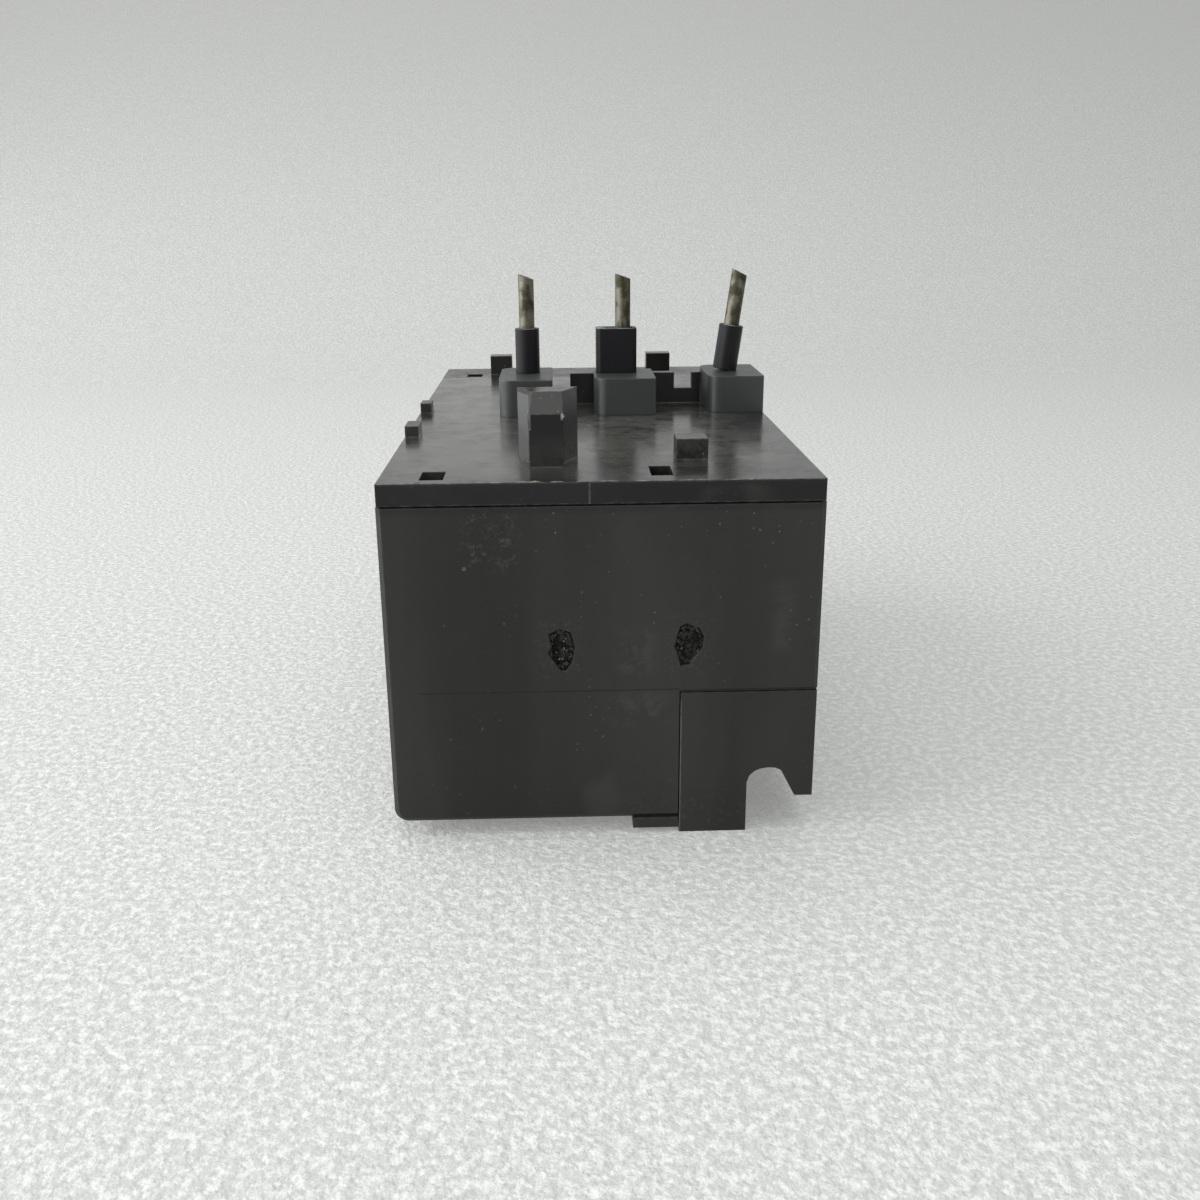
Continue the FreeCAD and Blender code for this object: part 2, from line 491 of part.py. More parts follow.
def make_pin_block(name):
    """Moulded block that locks one contact pin into the lid."""
    low_x, high_x, low_y, high_y = PIN_BLOCKS[name]
    body = new_body(f"pin_block_{name}")
    pad(body, "block", "XY", "lid_top", "lid_top + block_height",
        [box_loop(f"{low_x}", f"{high_x}", f"{low_y}", f"{high_y}")])
    soften(body, "left_edges", "block_round",
           lambda p, d: near(abs(d.z), 1) and near(p.x, low_x))
    across = f"pin_x_{name}"
    pad(body, "spigot", "XY", "spigot_bottom", "lid_top + sink",
        [square_round(across, "pin_y", "spigot_half")])
    cut(body, "seat", "XY", "spigot_bottom - past", "lid_top + block_height + past",
        [square_round(across, "pin_y", "foot_half + seat_gap")])
    if name == "left":
        cut(body, "rear_dent", "XZ", f"{low_y} - past", f"{low_y} + dent_depth",
            [box_loop(f"{low_x} + dent_left", f"{high_x} - dent_right", "lid_top + dent_bottom",
                      "lid_top + dent_top")])
    place(body)
    return body


def make_sleeve(name):
    """Insulating sleeve round the foot of one pin."""
    body = new_body(f"pin_sleeve_{name}")
    bore = ("0", "0", "collar_radius + sleeve_gap")
    if name == "centre":
        corners = box_loop("-box_sleeve_left", "box_sleeve_right",
                           "-box_sleeve_half", "box_sleeve_half")
        pad(body, "tube", "XY", "0", "sleeve_height", [corners])
        soften(body, "corners", "box_sleeve_corner", lambda p, d: near(abs(d.z), 1),
               "PartDesign::Chamfer")
    else:
        pad(body, "tube", "XY", "0", "sleeve_height", [], [("0", "0", "sleeve_radius")])
    cut(body, "bore", "XY", "-past", "sleeve_height + past", [], [bore])
    place(body, f"pin_x_{name}", "pin_y", "lid_top + block_height + seat_gap")
    if name == "right":
        lean_at_block(body)
    return body


def lean_at_block(part):
    """Lean a sub-part of the right pole towards +x where its pin leaves the block."""
    part.setExpression("Placement.Rotation.Axis.x", "0")
    part.setExpression("Placement.Rotation.Axis.y", "1")
    part.setExpression("Placement.Rotation.Axis.z", "0")
    part.setExpression("Placement.Rotation.Angle", bound("pin_lean"))
    place(part, "pin_x_right", "pin_y", "lid_top + block_height + knee_rise")


def make_pin(name):
    """Contact pin: square foot in its block, collar inside its sleeve, round end with a cut tip."""
    if name == "right":
        return make_bent_pin()
    body = new_body(f"contact_pin_{name}")
    seat = "lid_top + block_height + seat_gap - pin_foot"
    pad(body, "foot", "XY", "0", f"{seat} + sink", [square_round("0", "0", "foot_half")])
    add_rod(body, seat, f"{seat} + sleeve_height + collar_rise", "pin_tip - pin_foot")
    place(body, f"pin_x_{name}", "pin_y", "pin_foot")
    return body


def add_rod(body, bottom, shoulder, tip):
    """Collar, free round end and slanted tip of a pin on the z axis."""
    pad(body, "collar", "XY", bottom, shoulder, [], [("0", "0", "collar_radius")])
    pad(body, "rod", "XY", f"{shoulder} - sink", tip, [], [("0", "0", "pin_radius")])
    bevel = [("-bevel_reach", f"{tip} - bevel_flat"), ("bevel_reach", f"{tip} - pin_bevel"),
             ("bevel_reach", f"{tip} + past"), ("-bevel_reach", f"{tip} + past")]
    cut(body, "bevel", "XZ", "-bevel_reach", "bevel_reach", [bevel])


def make_bent_pin():
    """Right contact pin, bent over where it leaves its block; drawn along its leaning end."""
    body = new_body("contact_pin_right")
    add_rod(body, "0", "sleeve_height + collar_rise", "upper_length")
    foot = pad(body, "foot", "XY", "0", "lid_top + block_height + knee_rise + knee_overlap - pin_foot",
               [square_round("0", "0", "foot_half")])
    foot.Reversed = True
    upright = FreeCAD.Rotation(FreeCAD.Vector(0, 1, 0), -size("pin_lean"))
    knee = upright.multVec(FreeCAD.Vector(0, 0, size("knee_overlap")))
    foot.Profile[0].AttachmentOffset = FreeCAD.Placement(knee, upright)
    foot.Profile[0].setExpression("AttachmentOffset.Base.z", None)
    doc.recompute()
    lean_at_block(body)
    return body


def rounded_path(points, radius):
    """A wire of straight runs joined by tangent arcs."""
    edges = []
    last = points[0]
    for before, corner, after in zip(points, points[1:], points[2:]):
        into = (corner - before).normalize()
        out = (after - corner).normalize()
        half_turn = into.getAngle(out) / 2
        reach = radius * math.tan(half_turn)
        start = corner - into * reach
        end = corner + out * reach
        middle = corner + (out - into).normalize() * (radius / math.cos(half_turn) - radius)
        edges.append(Part.LineSegment(last, start).toShape())
        edges.append(Part.Arc(start, middle, end).toShape())
        last = end
    edges.append(Part.LineSegment(last, points[-1]).toShape())
    return Part.Wire(edges)


def make_lead(name, side):
    """Square copper lead from the foot of a pin to the top of its heater winding."""
    radius = size("lead_half")
    foot = FreeCAD.Vector(size(f"pin_x_{name}"), size("pin_y"), size("pin_foot"))
    pole = size(f"{side} * pole_pitch")
    face = size("strip_y + winding_half_y + strap_thick")
    low = size("lead_z")
    points = [foot, FreeCAD.Vector(foot.x, foot.y, low),
              FreeCAD.Vector(pole, face + size("lead_straight"), low),
              FreeCAD.Vector(pole, face, low)]
    bends = rounded_path(points, size("lead_turn")).discretize(Deflection=BEND_CHORD)
    corners = [foot + FreeCAD.Vector(radius * across, radius * along, 0)
               for across, along in ((-1, -1), (1, -1), (1, 1), (-1, 1), (-1, -1))]
    lead = doc.addObject("Part::Feature", f"pin_lead_{name}")
    lead.Label = f"pin_lead_{name}"
    lead.Shape = Part.makePolygon(bends).makePipeShell([Part.makePolygon(corners)], True, False, 1)
    place(lead)
    return lead


def make_winding(name, side):
    """Flat heater ribbon wound round its bimetal strip, with the strap that joins the turns."""
    body = new_body(f"heater_winding_{name}")
    inner_x = "winding_half_x - winding_wire"
    inner_y = "winding_half_y - winding_wire"
    ring = [box_loop("-winding_half_x", "winding_half_x", "-winding_half_y", "winding_half_y"),
            box_loop(f"-({inner_x})", inner_x, f"-({inner_y})", inner_y)]
    turn_one = pad(body, "turn", "XY", "winding_bottom", "winding_bottom + winding_turn", ring)
    pattern = body.newObject("PartDesign::LinearPattern", f"{body.Name}_turns")
    pattern.Originals = [turn_one]
    rise = next(item for item in body.Origin.OriginFeatures if item.Role == "Z_Axis")
    pattern.Direction = (rise, [""])
    pattern.setExpression("Length", bound("winding_pitch * (winding_turns - 1)"))
    pattern.setExpression("Occurrences", bound("winding_turns"))
    body.Tip = pattern
    doc.recompute()
    strap_top = "winding_bottom + winding_pitch * (winding_turns - 1) + winding_turn"
    pad(body, "strap", "XY", "winding_bottom", strap_top,
        [box_loop("-strap_half", "strap_half", "winding_half_y - sink",
                  "winding_half_y + strap_thick")])
    place(body, f"{side} * pole_pitch", "strip_y", "0")
    return body


def make_strip(name, side):
    """Bimetal strip, welded to its bar at the foot and free at the tip."""
    body = new_body(f"bimetal_strip_{name}")
    bottom = "floor_top + bar_thick"
    pad(body, "strip", "XY", bottom, "strip_tip",
        [box_loop("-strip_half", "strip_half", "-strip_half_width", "strip_half_width")])
    cut(body, "tip_cut", "YZ", "-(strip_half + past)", "strip_half + past",
        [box_loop("strip_half_width - strip_notch", "strip_half_width + past",
                  "strip_tip - strip_notch_height", "strip_tip + past")])
    place(body, f"{side} * pole_pitch", "strip_y", "0")
    return body


def make_load_bar(name, side):
    """Bar from the foot of a bimetal strip to the threaded plate of its load terminal."""
    body = new_body(f"load_bar_{name}")
    pad(body, "foot", "XY", "floor_top", "floor_top + bar_thick",
        [box_loop("-bar_half", "bar_half", "bar_back", "power_cell_back + power_plate")])
    pad(body, "plate", "XZ", "power_cell_back", "power_cell_back + power_plate",
        [box_loop("-power_plate_half", "power_plate_half", "-power_plate_drop",
                  "power_cell_top - power_plate_gap")])
    cut(body, "thread", "XZ", "power_cell_back - past", "power_cell_back + power_plate + past", [],
        [("0", "power_z", "power_screw + thread_gap")])
    place(body, f"{side} * pole_pitch")
    return body


def make_clamp(label, across, up, sizes):
    """Captive saddle plate with a square hole; it presses the wire against the terminal plate."""
    back, thick, half, hole, low, high = sizes
    body = new_body(label)
    pad(body, "plate", "XZ", back, f"{back} + {thick}", [box_loop(f"-{half}", half, low, high)])
    lips = [box_loop(f"-{half}", f"-{half} + lip_width", low, high),
            box_loop(f"{half} - lip_width", half, low, high)]
    pad(body, "lips", "XZ", f"{back} - lip_depth", f"{back} + sink", lips)
    cut(body, "hole", "XZ", f"{back} - past", f"{back} + {thick} + past",
        [square_round("0", "0", hole)])
    place(body, across, "0", up)
    return body


def make_screw(label, across, up, sizes):
    """Slotted cheese-head terminal screw on the y axis."""
    tip, head_back, thick, shank, head = sizes
    body = new_body(label)
    outline = [("0", tip), (shank, tip), (shank, head_back), (head, head_back),
               (head, f"{head_back} + {thick}"), ("0", f"{head_back} + {thick}")]
    turn(body, "form", "XY", outline)
    cut(body, "slot", "XZ", f"{head_back} + {thick} - slot_depth", f"{head_back} + {thick} + past",
        [box_loop(f"-{head} - past", f"{head} + past", "-slot_half", "slot_half")])
    place(body, across, "0", up)
    return body


def make_power_terminal(name, side):
    """Clamp and screw of one load terminal, drawn open."""
    across = f"{side} * pole_pitch"
    make_clamp(f"power_clamp_{name}", across, "power_z",
               ("power_clamp_back", "power_clamp", "power_clamp_half", "power_screw + fit_gap",
                "-power_clamp_reach", "power_clamp_reach"))
    make_screw(f"power_screw_{name}", across, "power_z",
               ("power_tip", "power_clamp_back + power_clamp + fit_gap", "power_head_thick",
                "power_screw", "power_head"))


def make_control_terminal(number, row_place):
    """Tongue with its fixed contact, clamp and screw of one control terminal, drawn open."""
    across = f"{row_place} * control_pitch"
    closed = number in ("95", "96")
    arm = "normally_closed_y" if closed else "normally_open_y"
    tongue = new_body(f"contact_tongue_{number}")
    back = "bulkhead_front - tongue_seat"
    top = "control_cell_top - fit_gap"
    pad(tongue, "plate", "XZ", back, f"{back} + control_plate",
        [box_loop("-control_plate_half", "control_plate_half", "step_top + tongue_gap", top)])
    pad(tongue, "lead", "XZ", arm, "bulkhead_front",
        [box_loop("-tongue_half", "tongue_half", "tongue_lead_bottom", top)])
    pad(tongue, "arm", "XZ", arm, f"{arm} + control_plate",
        [box_loop("-tongue_half", "tongue_half", "tongue_arm_bottom", top)])
    button = [square_round("0", "contact_z", "button_half")]
    if closed:
        pad(tongue, "button", "XZ", f"{arm} - button_thick", f"{arm} + sink", button)
    else:
        pad(tongue, "button", "XZ", f"{arm} + control_plate - sink",
            f"{arm} + control_plate + button_thick", button)
    cut(tongue, "thread", "XZ", f"{back} - past", f"{back} + control_plate + past", [],
        [("0", "control_z", "control_screw + thread_gap")])
    place(tongue, across)
    make_clamp(f"control_clamp_{number}", across, "control_z",
               ("control_clamp_back", "control_clamp", "control_clamp_half",
                "control_screw + fit_gap", "-control_clamp_low", "control_clamp_high"))
    make_screw(f"control_screw_{number}", across, "control_z",
               ("control_tip", "control_clamp_back + control_clamp + fit_gap", "control_head_thick",
                "control_screw", "control_head"))


def make_bridge(label, across, arm_side):
    """Contact bridge with two contact buttons, carried by the contact carriage."""
    body = new_body(label)
    closed = arm_side < 0
    if closed:
        front = "normally_closed_y - button_thick - contact_gap - button_thick"
        pad(body, "strip", "XZ", f"{front} - bridge_thick", front,
            [box_loop("-bridge_reach", "bridge_reach", "contact_z - bridge_half_height",
                      "contact_z + bridge_half_height")])
        low, high = f"{front} - sink", f"{front} + button_thick"
    else:
        back = "normally_open_y + control_plate + button_thick + open_gap + button_thick"
        pad(body, "strip", "XZ", back, f"{back} + bridge_thick",
            [box_loop("-bridge_reach", "bridge_reach", "contact_z - bridge_half_height",
                      "contact_z + bridge_half_height")])
        low, high = f"{back} - button_thick", f"{back} + sink"
    buttons = [square_round(f"{side} * control_pitch / 2", "contact_z", "button_half")
               for side in (-1, 1)]
    pad(body, "buttons", "XZ", low, high, buttons)
    place(body, across)
    return body


def make_carriage():
    """Sliding carriage that moves both contact bridges together."""
    body = new_body("contact_carriage")
    front = "carriage_back + carriage_depth"
    pad(body, "bar", "XZ", "carriage_back", front,
        [box_loop("-carriage_half", "carriage_half", "carriage_bottom", "carriage_top")])
    closed = "normally_closed_y - button_thick * 2 - contact_gap - bridge_thick"
    opened = "normally_open_y + control_plate + button_thick * 2 + open_gap"
    low = "carriage_bottom + bridge_arm_rise"
    for label, middle, reach in (("closed_arm", "-control_pitch", closed),
                                 ("open_arm", "control_pitch", opened)):
        pad(body, label, "XZ", f"{front} - sink", reach,
            [box_loop(f"{middle} - bridge_arm_half", f"{middle} + bridge_arm_half", low,
                      "carriage_top")])
    peg_x = "trip_x + trip_arm"
    tab = [box_loop(f"{peg_x} - tab_half", f"{peg_x} + tab_half", "trip_y - tab_half",
                    "carriage_back + sink")]
    pad(body, "tab", "XY", "trip_top + tab_gap", "carriage_top", tab)
    slot = [box_loop(f"{peg_x} - peg_radius - peg_side_gap", f"{peg_x} + peg_radius + peg_side_gap",
                     "trip_y - peg_radius - peg_end_gap", "trip_y + peg_radius + peg_end_gap")]
    cut(body, "peg_slot", "XY", "trip_top", "carriage_top + past", slot)
    place(body)
    return body


def make_trip_lever():
    """Two-armed trip lever on its post, with the peg that drives the contact carriage."""
    body = new_body("trip_lever")
    arms = [("-trip_latch", "-latch_half"), ("-waist", "-trip_half"), ("-hub_flat", "-hub_radius"),
            ("hub_flat", "-hub_radius"), ("waist", "-trip_half"), ("trip_arm", "-trip_half"),
            ("trip_arm + trip_nose", "0"), ("trip_arm", "trip_half"), ("waist", "trip_half"),
            ("hub_flat", "hub_radius"), ("-hub_flat", "hub_radius"), ("-waist", "trip_half"),
            ("-trip_latch", "latch_half")]
    pad(body, "arms", "XY", "trip_bottom", "trip_top", [arms])
    pad(body, "peg", "XY", "trip_top - sink", "carriage_top - peg_drop", [],
        [("trip_arm", "0", "peg_radius")])
    cut(body, "bore", "XY", "trip_bottom - past", "trip_top + past", [],
        [("0", "0", "post_radius + running_gap")])
    place(body, "trip_x", "trip_y", "0")
    return body


def make_compensating_lever():
    """Lever whose long leaf offsets room temperature; the push bar moves its rear end."""
    body = new_body("compensating_lever")
    top = "bar_bottom + bar_height"
    hub = [("-hub_radius", "-hub_flat"), ("-hub_flat", "-hub_radius"), ("hub_flat", "-hub_radius"),
           ("hub_radius", "-hub_flat"), ("hub_radius", "hub_flat"), ("hub_flat", "hub_radius"),
           ("-hub_flat", "hub_radius"), ("-hub_radius", "hub_flat")]
    pad(body, "hub", "XY", "trip_bottom - comp_drop", top, [hub])
    pad(body, "leaf", "XY", "bar_bottom - leaf_overlap", top,
        [box_loop("comp_leaf_x", "comp_leaf_x + comp_leaf", "comp_arm_back - comp_y", "0")])
    nose = [("-nose_half", "0"), ("nose_half", "0"), ("nose_half", "nose_step"),
            ("nose_reach", "nose_step"), ("nose_reach", "comp_nose"), ("-nose_half", "comp_nose")]
    pad(body, "nose", "XY", "trip_bottom", "trip_top", [nose])
    cut(body, "bore", "XY", "0", "lid_top", [], [("0", "0", "post_radius + running_gap")])
    place(body, "comp_x", "comp_y", "0")
    return body


def make_push_bar(label, back, finger_side, reach_left, reach_right):
    """Bar that lies across the three strip tips, with one finger for each."""
    body = new_body(label)
    pad(body, "bar", "XY", "bar_bottom", "bar_bottom + bar_height",
        [box_loop(reach_left, reach_right, back, f"{back} + bar_depth")])
    gap = "push_gap" if finger_side < 0 else "push_travel + push_gap"
    fingers = []
    for side in POLES.values():
        near_face = f"{side} * pole_pitch + {finger_side} * (strip_half + {gap})"
        far_face = f"{near_face} + {finger_side} * finger_thick"
        low, high = (far_face, near_face) if finger_side < 0 else (near_face, far_face)
        fingers.append(box_loop(low, high, back, f"{back} + bar_depth"))
    pad(body, "fingers", "XY", "finger_bottom", "bar_bottom + sink", fingers)
    place(body)
    return body


def octagon(reach):
    """Eight-sided outline round the origin with its corners at the given reach."""
    near_side = f"({reach}) * {math.sin(math.pi / 8):.4f}"
    far_side = f"({reach}) * {math.cos(math.pi / 8):.4f}"
    return [(f"-{far_side}", f"-{near_side}"), (f"-{near_side}", f"-{far_side}"),
            (near_side, f"-{far_side}"), (far_side, f"-{near_side}"), (far_side, near_side),
            (near_side, far_side), (f"-{near_side}", far_side), (f"-{far_side}", near_side)]


def make_dial():
    """Current-setting dial with its pointer, retaining collar, shaft and eccentric cam."""
    body = new_body("setting_dial")
    face = "case_depth + dial_proud"
    collar = "front_inner - collar_back"
    outline = [("0", "bulkhead_back - cam_front"), ("dial_shaft", "bulkhead_back - cam_front"),
               ("dial_shaft", collar), ("dial_radius", collar), ("dial_radius", face), ("0", face)]
    turn(body, "form", "XY", outline)
    pad(body, "collar", "XZ", collar, f"{collar} + collar_thick", [octagon("dial_collar")])
    arrow = [("-arrow_half", "-arrow_tail"), ("arrow_half", "-arrow_tail"),
             ("arrow_half", "arrow_shoulder"), ("arrow_shoulder", "arrow_shoulder"),
             ("0", "arrow_tip"), ("-arrow_shoulder", "arrow_shoulder"),
             ("-arrow_half", "arrow_shoulder")]
    cut(body, "arrow", "XZ", f"{face} - arrow_depth", f"{face} + past", [arrow])
    pad(body, "cam", "XZ", "bulkhead_back - cam_back", "bulkhead_back - cam_front + sink", [],
        [("0", "dial_cam_offset", "dial_cam")])
    place(body, "dial_x", "0", "row_z")
    return body


def make_adjusting_lever():
    """Upright lever beside the dial's cam, on its own pin under the dial."""
    body = new_body("adjusting_lever")
    back = "bulkhead_back - adjust_back"
    hub = "adjust_hub"
    tip = "adjust_drop + adjust_tip"
    outline = [(f"-{hub}", f"-{hub}"), (hub, f"-{hub}"), (hub, "hub_flat"), ("adjust_half", hub),
               ("adjust_half", tip), ("-adjust_half", tip), ("-adjust_half", hub),
               (f"-{hub}", "hub_flat")]
    pad(body, "arm", "XZ", back, f"{back} + adjust_thick", [outline])
    cut(body, "bore", "XZ", f"{back} - past", f"{back} + adjust_thick + past", [],
        [("0", "0", "adjust_pin + running_gap")])
    place(body, "dial_x + adjust_side", "0", "row_z - adjust_drop")
    return body


def make_selector():
    """Manual or automatic reset selector with a screwdriver slot and a retaining collar."""
    body = new_body("mode_selector")
    collar = "front_inner - collar_back"
    face = "case_depth + selector_proud"
    outline = [("0", "bulkhead_back - selector_tail"), ("stem_radius", "bulkhead_back - selector_tail"),
               ("stem_radius", collar), ("selector_head", collar), ("selector_head", face), ("0", face)]
    turn(body, "form", "XY", outline)
    pad(body, "collar", "XZ", collar, f"{collar} + collar_thick", [octagon("selector_collar")])
    cut(body, "slot", "XZ", f"{face} - selector_slot_depth", f"{face} + past",
        [box_loop("-selector_head - past", "selector_head + past", "-selector_slot_half",
                  "selector_slot_half")])
    place(body, "selector_x", "0", "row_z")
    return body


def make_reset_button():
    """Round reset button with its square collar and stem."""
    body = new_body("reset_button")
    collar = "front_inner - collar_back"
    face = "case_depth + button_travel + reset_chamfer"
    outline = [("0", collar), ("reset_radius", collar), ("reset_radius", f"{face} - reset_chamfer"),
               ("reset_radius - reset_chamfer", face), ("0", face)]
    turn(body, "form", "XY", outline)
    pad(body, "collar", "XZ", collar, f"{collar} + collar_thick",
        [square_round("0", "0", "reset_flange")])
    add_stem(body, collar)
    place(body, "reset_x", "0", "row_z")
    return body


def add_stem(body, front):
    """Square stem that runs back through the bulkhead."""
    pad(body, "stem", "XZ", "bulkhead_back - stem_tail", f"{front} + sink",
        [square_round("0", "0", "stem_half")])


def make_box_button(label, across, half_x, half_z, proud, collar_back="button_collar_back"):
    """Rectangular button or flag with a collar behind the front wall and a square stem."""
    body = new_body(label)
    collar = f"front_inner - {collar_back}"
    pad(body, "head", "XZ", collar, f"case_depth + {proud}",
        [box_loop(f"-{half_x}", half_x, f"-{half_z}", half_z)])
    front = size(f"case_depth + {proud}")
    soften(body, "front_edges", "button_chamfer", lambda p, d: near(p.y, front),
           "PartDesign::Chamfer")
    pad(body, "collar", "XZ", collar, f"{collar} + collar_thick",
        [box_loop(f"-{half_x} - button_collar_side", f"{half_x} + button_collar_side",
                  f"-{half_z} - button_collar_over", f"{half_z} + button_collar_over")])
    add_stem(body, collar)
    place(body, across, "0", "row_z")
    return body


def make_coil_spring(label, across, along, up, length, radius, turns):
    """Compression spring along y: straight chords that follow a helix, square wire."""
    steps = 6
    spring = doc.addObject("Part::Feature", label)
    spring.Label = label
    wire = size("spring_wire")
    pitch = size(length) / turns
    reach = size(radius)
    points = []
    for step in range(turns * steps + 1):
        angle = 2 * math.pi * step / steps
        points.append(FreeCAD.Vector(reach * math.cos(angle), pitch * step / steps,
                                     reach * math.sin(angle)))
    path = Part.makePolygon(points)
    start = points[0]
    side = wire / 2
    corners = [start + FreeCAD.Vector(dx * side, 0, 0) + FreeCAD.Vector(0, dy * side, 0)
               for dx, dy in ((-1, -1), (1, -1), (1, 1), (-1, 1), (-1, -1))]
    profile = Part.makePolygon(corners)
    spring.Shape = path.makePipeShell([profile], True, False, 1)
    place(spring, across, along, up)
    return spring


def make_cover():
    """Clear hinged cover over the dial, selector, test button and flag."""
    body = new_body("clear_cover")
    outline = [("cover_axis_y - cover_lap", "cover_bottom"), ("depth_total", "cover_bottom"),
               ("depth_total", "cover_top"), ("cover_back", "cover_top"),
               ("cover_back", "cover_axis_z + cover_heel"),
               ("cover_axis_y - cover_lap", "cover_axis_z + cover_heel_low")]
    pad(body, "shell", "YZ", "cover_left", "cover_right", [outline])
    front = size("depth_total")
    soften(body, "front_edges", "cover_chamfer", lambda p, d: near(p.y, front),
           "PartDesign::Chamfer")
    behind = "cover_axis_y - cover_clear"
    left, right = "cover_left + cover_wall", "cover_right - cover_wall"
    cut(body, "hollow", "YZ", left, right,
        [box_loop(behind, "depth_total - cover_wall", "cover_bottom + cover_wall",
                  "cover_top - cover_wall")])
    cut(body, "swing_gap", "YZ", left, right,
        [box_loop(behind, "cover_axis_y + swing_front", "cover_bottom - past",
                  "cover_bottom + cover_wall + sink")])
    pin = [("cover_axis_y", "cover_axis_z", "cover_pin")]
    pad(body, "left_pin", "YZ", "cover_left - cover_pin_out", "cover_left + cover_pin_in", [], pin)
    pad(body, "right_pin", "YZ", "cover_right - cover_pin_in", "cover_right + cover_pin_out", [], pin)
    grip = "depth_total - thumb_inset"
    pad(body, "thumb_lip", "YZ", "thumb_left", "thumb_right",
        [box_loop(f"{grip} - thumb_thick", grip, "cover_top - sink", "cover_top + thumb_rise")])
    place(body)
    return body


def build_all():
    """Make every sub-part."""
    make_case()
    make_rear_plate()
    make_lid()
    for name, side in POLES.items():
        make_pin_block(name)
        make_sleeve(name)
        make_pin(name)
        make_lead(name, side)
        make_winding(name, side)
        make_strip(name, side)
        make_load_bar(name, side)
        make_power_terminal(name, side)
    for number, row_place in CONTROLS.items():
        make_control_terminal(number, row_place)
    make_bridge("closed_bridge", "-control_pitch", -1)
    make_bridge("open_bridge", "control_pitch", 1)
    make_carriage()
    make_trip_lever()
    make_compensating_lever()
    make_push_bar("push_bar", "push_bar_back", -1, "bar_left", "bar_right")
    make_push_bar("follower_bar", "follow_bar_back", 1, "follower_left", "follower_right")
    make_dial()
    make_adjusting_lever()
    make_selector()
    make_reset_button()
    make_box_button("stop_button", "stop_x", "stop_half_x", "stop_half_z", "button_travel")
    make_box_button("test_button", "test_x", "small_half_x", "small_half_z", "test_proud")
    make_box_button("trip_flag", "flag_x", "small_half_x", "small_half_z", "(-flag_inset)",
                    "flag_collar_back")
    run = "front_inner - spring_room - bulkhead_front"
    for label, across in (("reset_spring", "reset_x"), ("stop_spring", "stop_x")):
        make_coil_spring(label, across, "bulkhead_front + spring_seat", "row_z", run,
                         "spring_radius", 4)
    stop = "spring_stop_back + spring_stop_thick + spring_gap"
    make_coil_spring("trip_spring", "trip_spring_x", stop, "carriage_bottom + trip_spring_rise",
                     f"carriage_back - spring_gap - ({stop})", "trip_spring_radius", 4)
    make_cover()


def export_all():
    """Check every object and write each sub-part to its own file."""
    doc.recompute()
    for item in doc.Objects:
        if "Invalid" in item.State or "Error" in item.State:
            raise RuntimeError(f"{item.Label} failed: {item.State}")
    parts = [item for item in doc.Objects
             if item.TypeId in ("PartDesign::Body", "Part::Feature")]
    for part in parts:
        shape = part.Shape
        if shape.isNull() or not shape.isValid():
            raise RuntimeError(f"{part.Label} has no valid shape")
        shape.exportStep(f"parts/{part.Label}.step")
        print(part.Label, len(shape.Solids), round(shape.Volume, 2))


build_all()
export_all()
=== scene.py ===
"""Finish and fine pieces for a plug-in thermal overload relay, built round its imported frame.

The relay stands on its load-terminal side with its rear face to the camera. Every sub-assembly
is a class that dresses its own frame nodes and adds the small pieces that the frame leaves out.
Lengths are metres; a value written as a real size in millimetres is multiplied by MM.
"""
import logging
import math
import random
from dataclasses import dataclass
from enum import Enum
from typing import Optional, Sequence

import bmesh
import bpy
from mathutils import Matrix, Vector


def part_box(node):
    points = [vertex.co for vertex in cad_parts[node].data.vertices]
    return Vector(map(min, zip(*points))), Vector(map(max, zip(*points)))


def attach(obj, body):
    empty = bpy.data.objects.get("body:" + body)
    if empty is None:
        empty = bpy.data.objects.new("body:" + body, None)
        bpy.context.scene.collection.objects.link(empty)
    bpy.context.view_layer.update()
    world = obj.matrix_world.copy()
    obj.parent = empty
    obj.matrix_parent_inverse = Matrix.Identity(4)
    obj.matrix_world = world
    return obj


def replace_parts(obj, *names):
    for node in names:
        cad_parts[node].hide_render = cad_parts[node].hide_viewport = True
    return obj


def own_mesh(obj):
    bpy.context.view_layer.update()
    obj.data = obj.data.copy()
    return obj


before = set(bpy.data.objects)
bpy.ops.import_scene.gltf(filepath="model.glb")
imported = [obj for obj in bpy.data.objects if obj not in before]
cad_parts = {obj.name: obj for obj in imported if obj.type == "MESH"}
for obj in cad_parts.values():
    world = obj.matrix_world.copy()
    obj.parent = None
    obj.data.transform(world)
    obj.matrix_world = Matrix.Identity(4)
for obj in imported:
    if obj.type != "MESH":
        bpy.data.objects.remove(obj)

MM = 0.001
LOG = logging.getLogger("overload_relay")
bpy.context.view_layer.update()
Socket = bpy.types.NodeSocket
Mesh = bmesh.types.BMesh
Colour = tuple[float, float, float]
Point = tuple[float, float, float]
Pair = tuple[float, float]


class Direction(Enum):
    """Way that a streaked finish runs, as the stretch of its grain along each axis."""

    ALONG_Z = (1.0, 1.0, 0.12)
    NONE = (1.0, 1.0, 1.0)


# Shader helpers


def feed(target: Socket, value: object) -> None:
    """Give a socket a link or a plain value, and a plain colour its alpha.

    Args:
        target: the input socket.
        value: an output socket to link, or a number, vector or colour to set.
    """
    if isinstance(value, Socket):
        target.id_data.links.new(value, target)
    else:
        target.default_value = (*value, 1.0) if target.type == "RGBA" else value


def feed_all(node: bpy.types.Node, **values: object) -> None:
    """Feed several inputs of a node.

    Args:
        node: the node.
        values: a socket or plain value for each input, with _ in its name for a space.
    """
    for name, value in values.items():
        feed(node.inputs[name.replace("_", " ")], value)


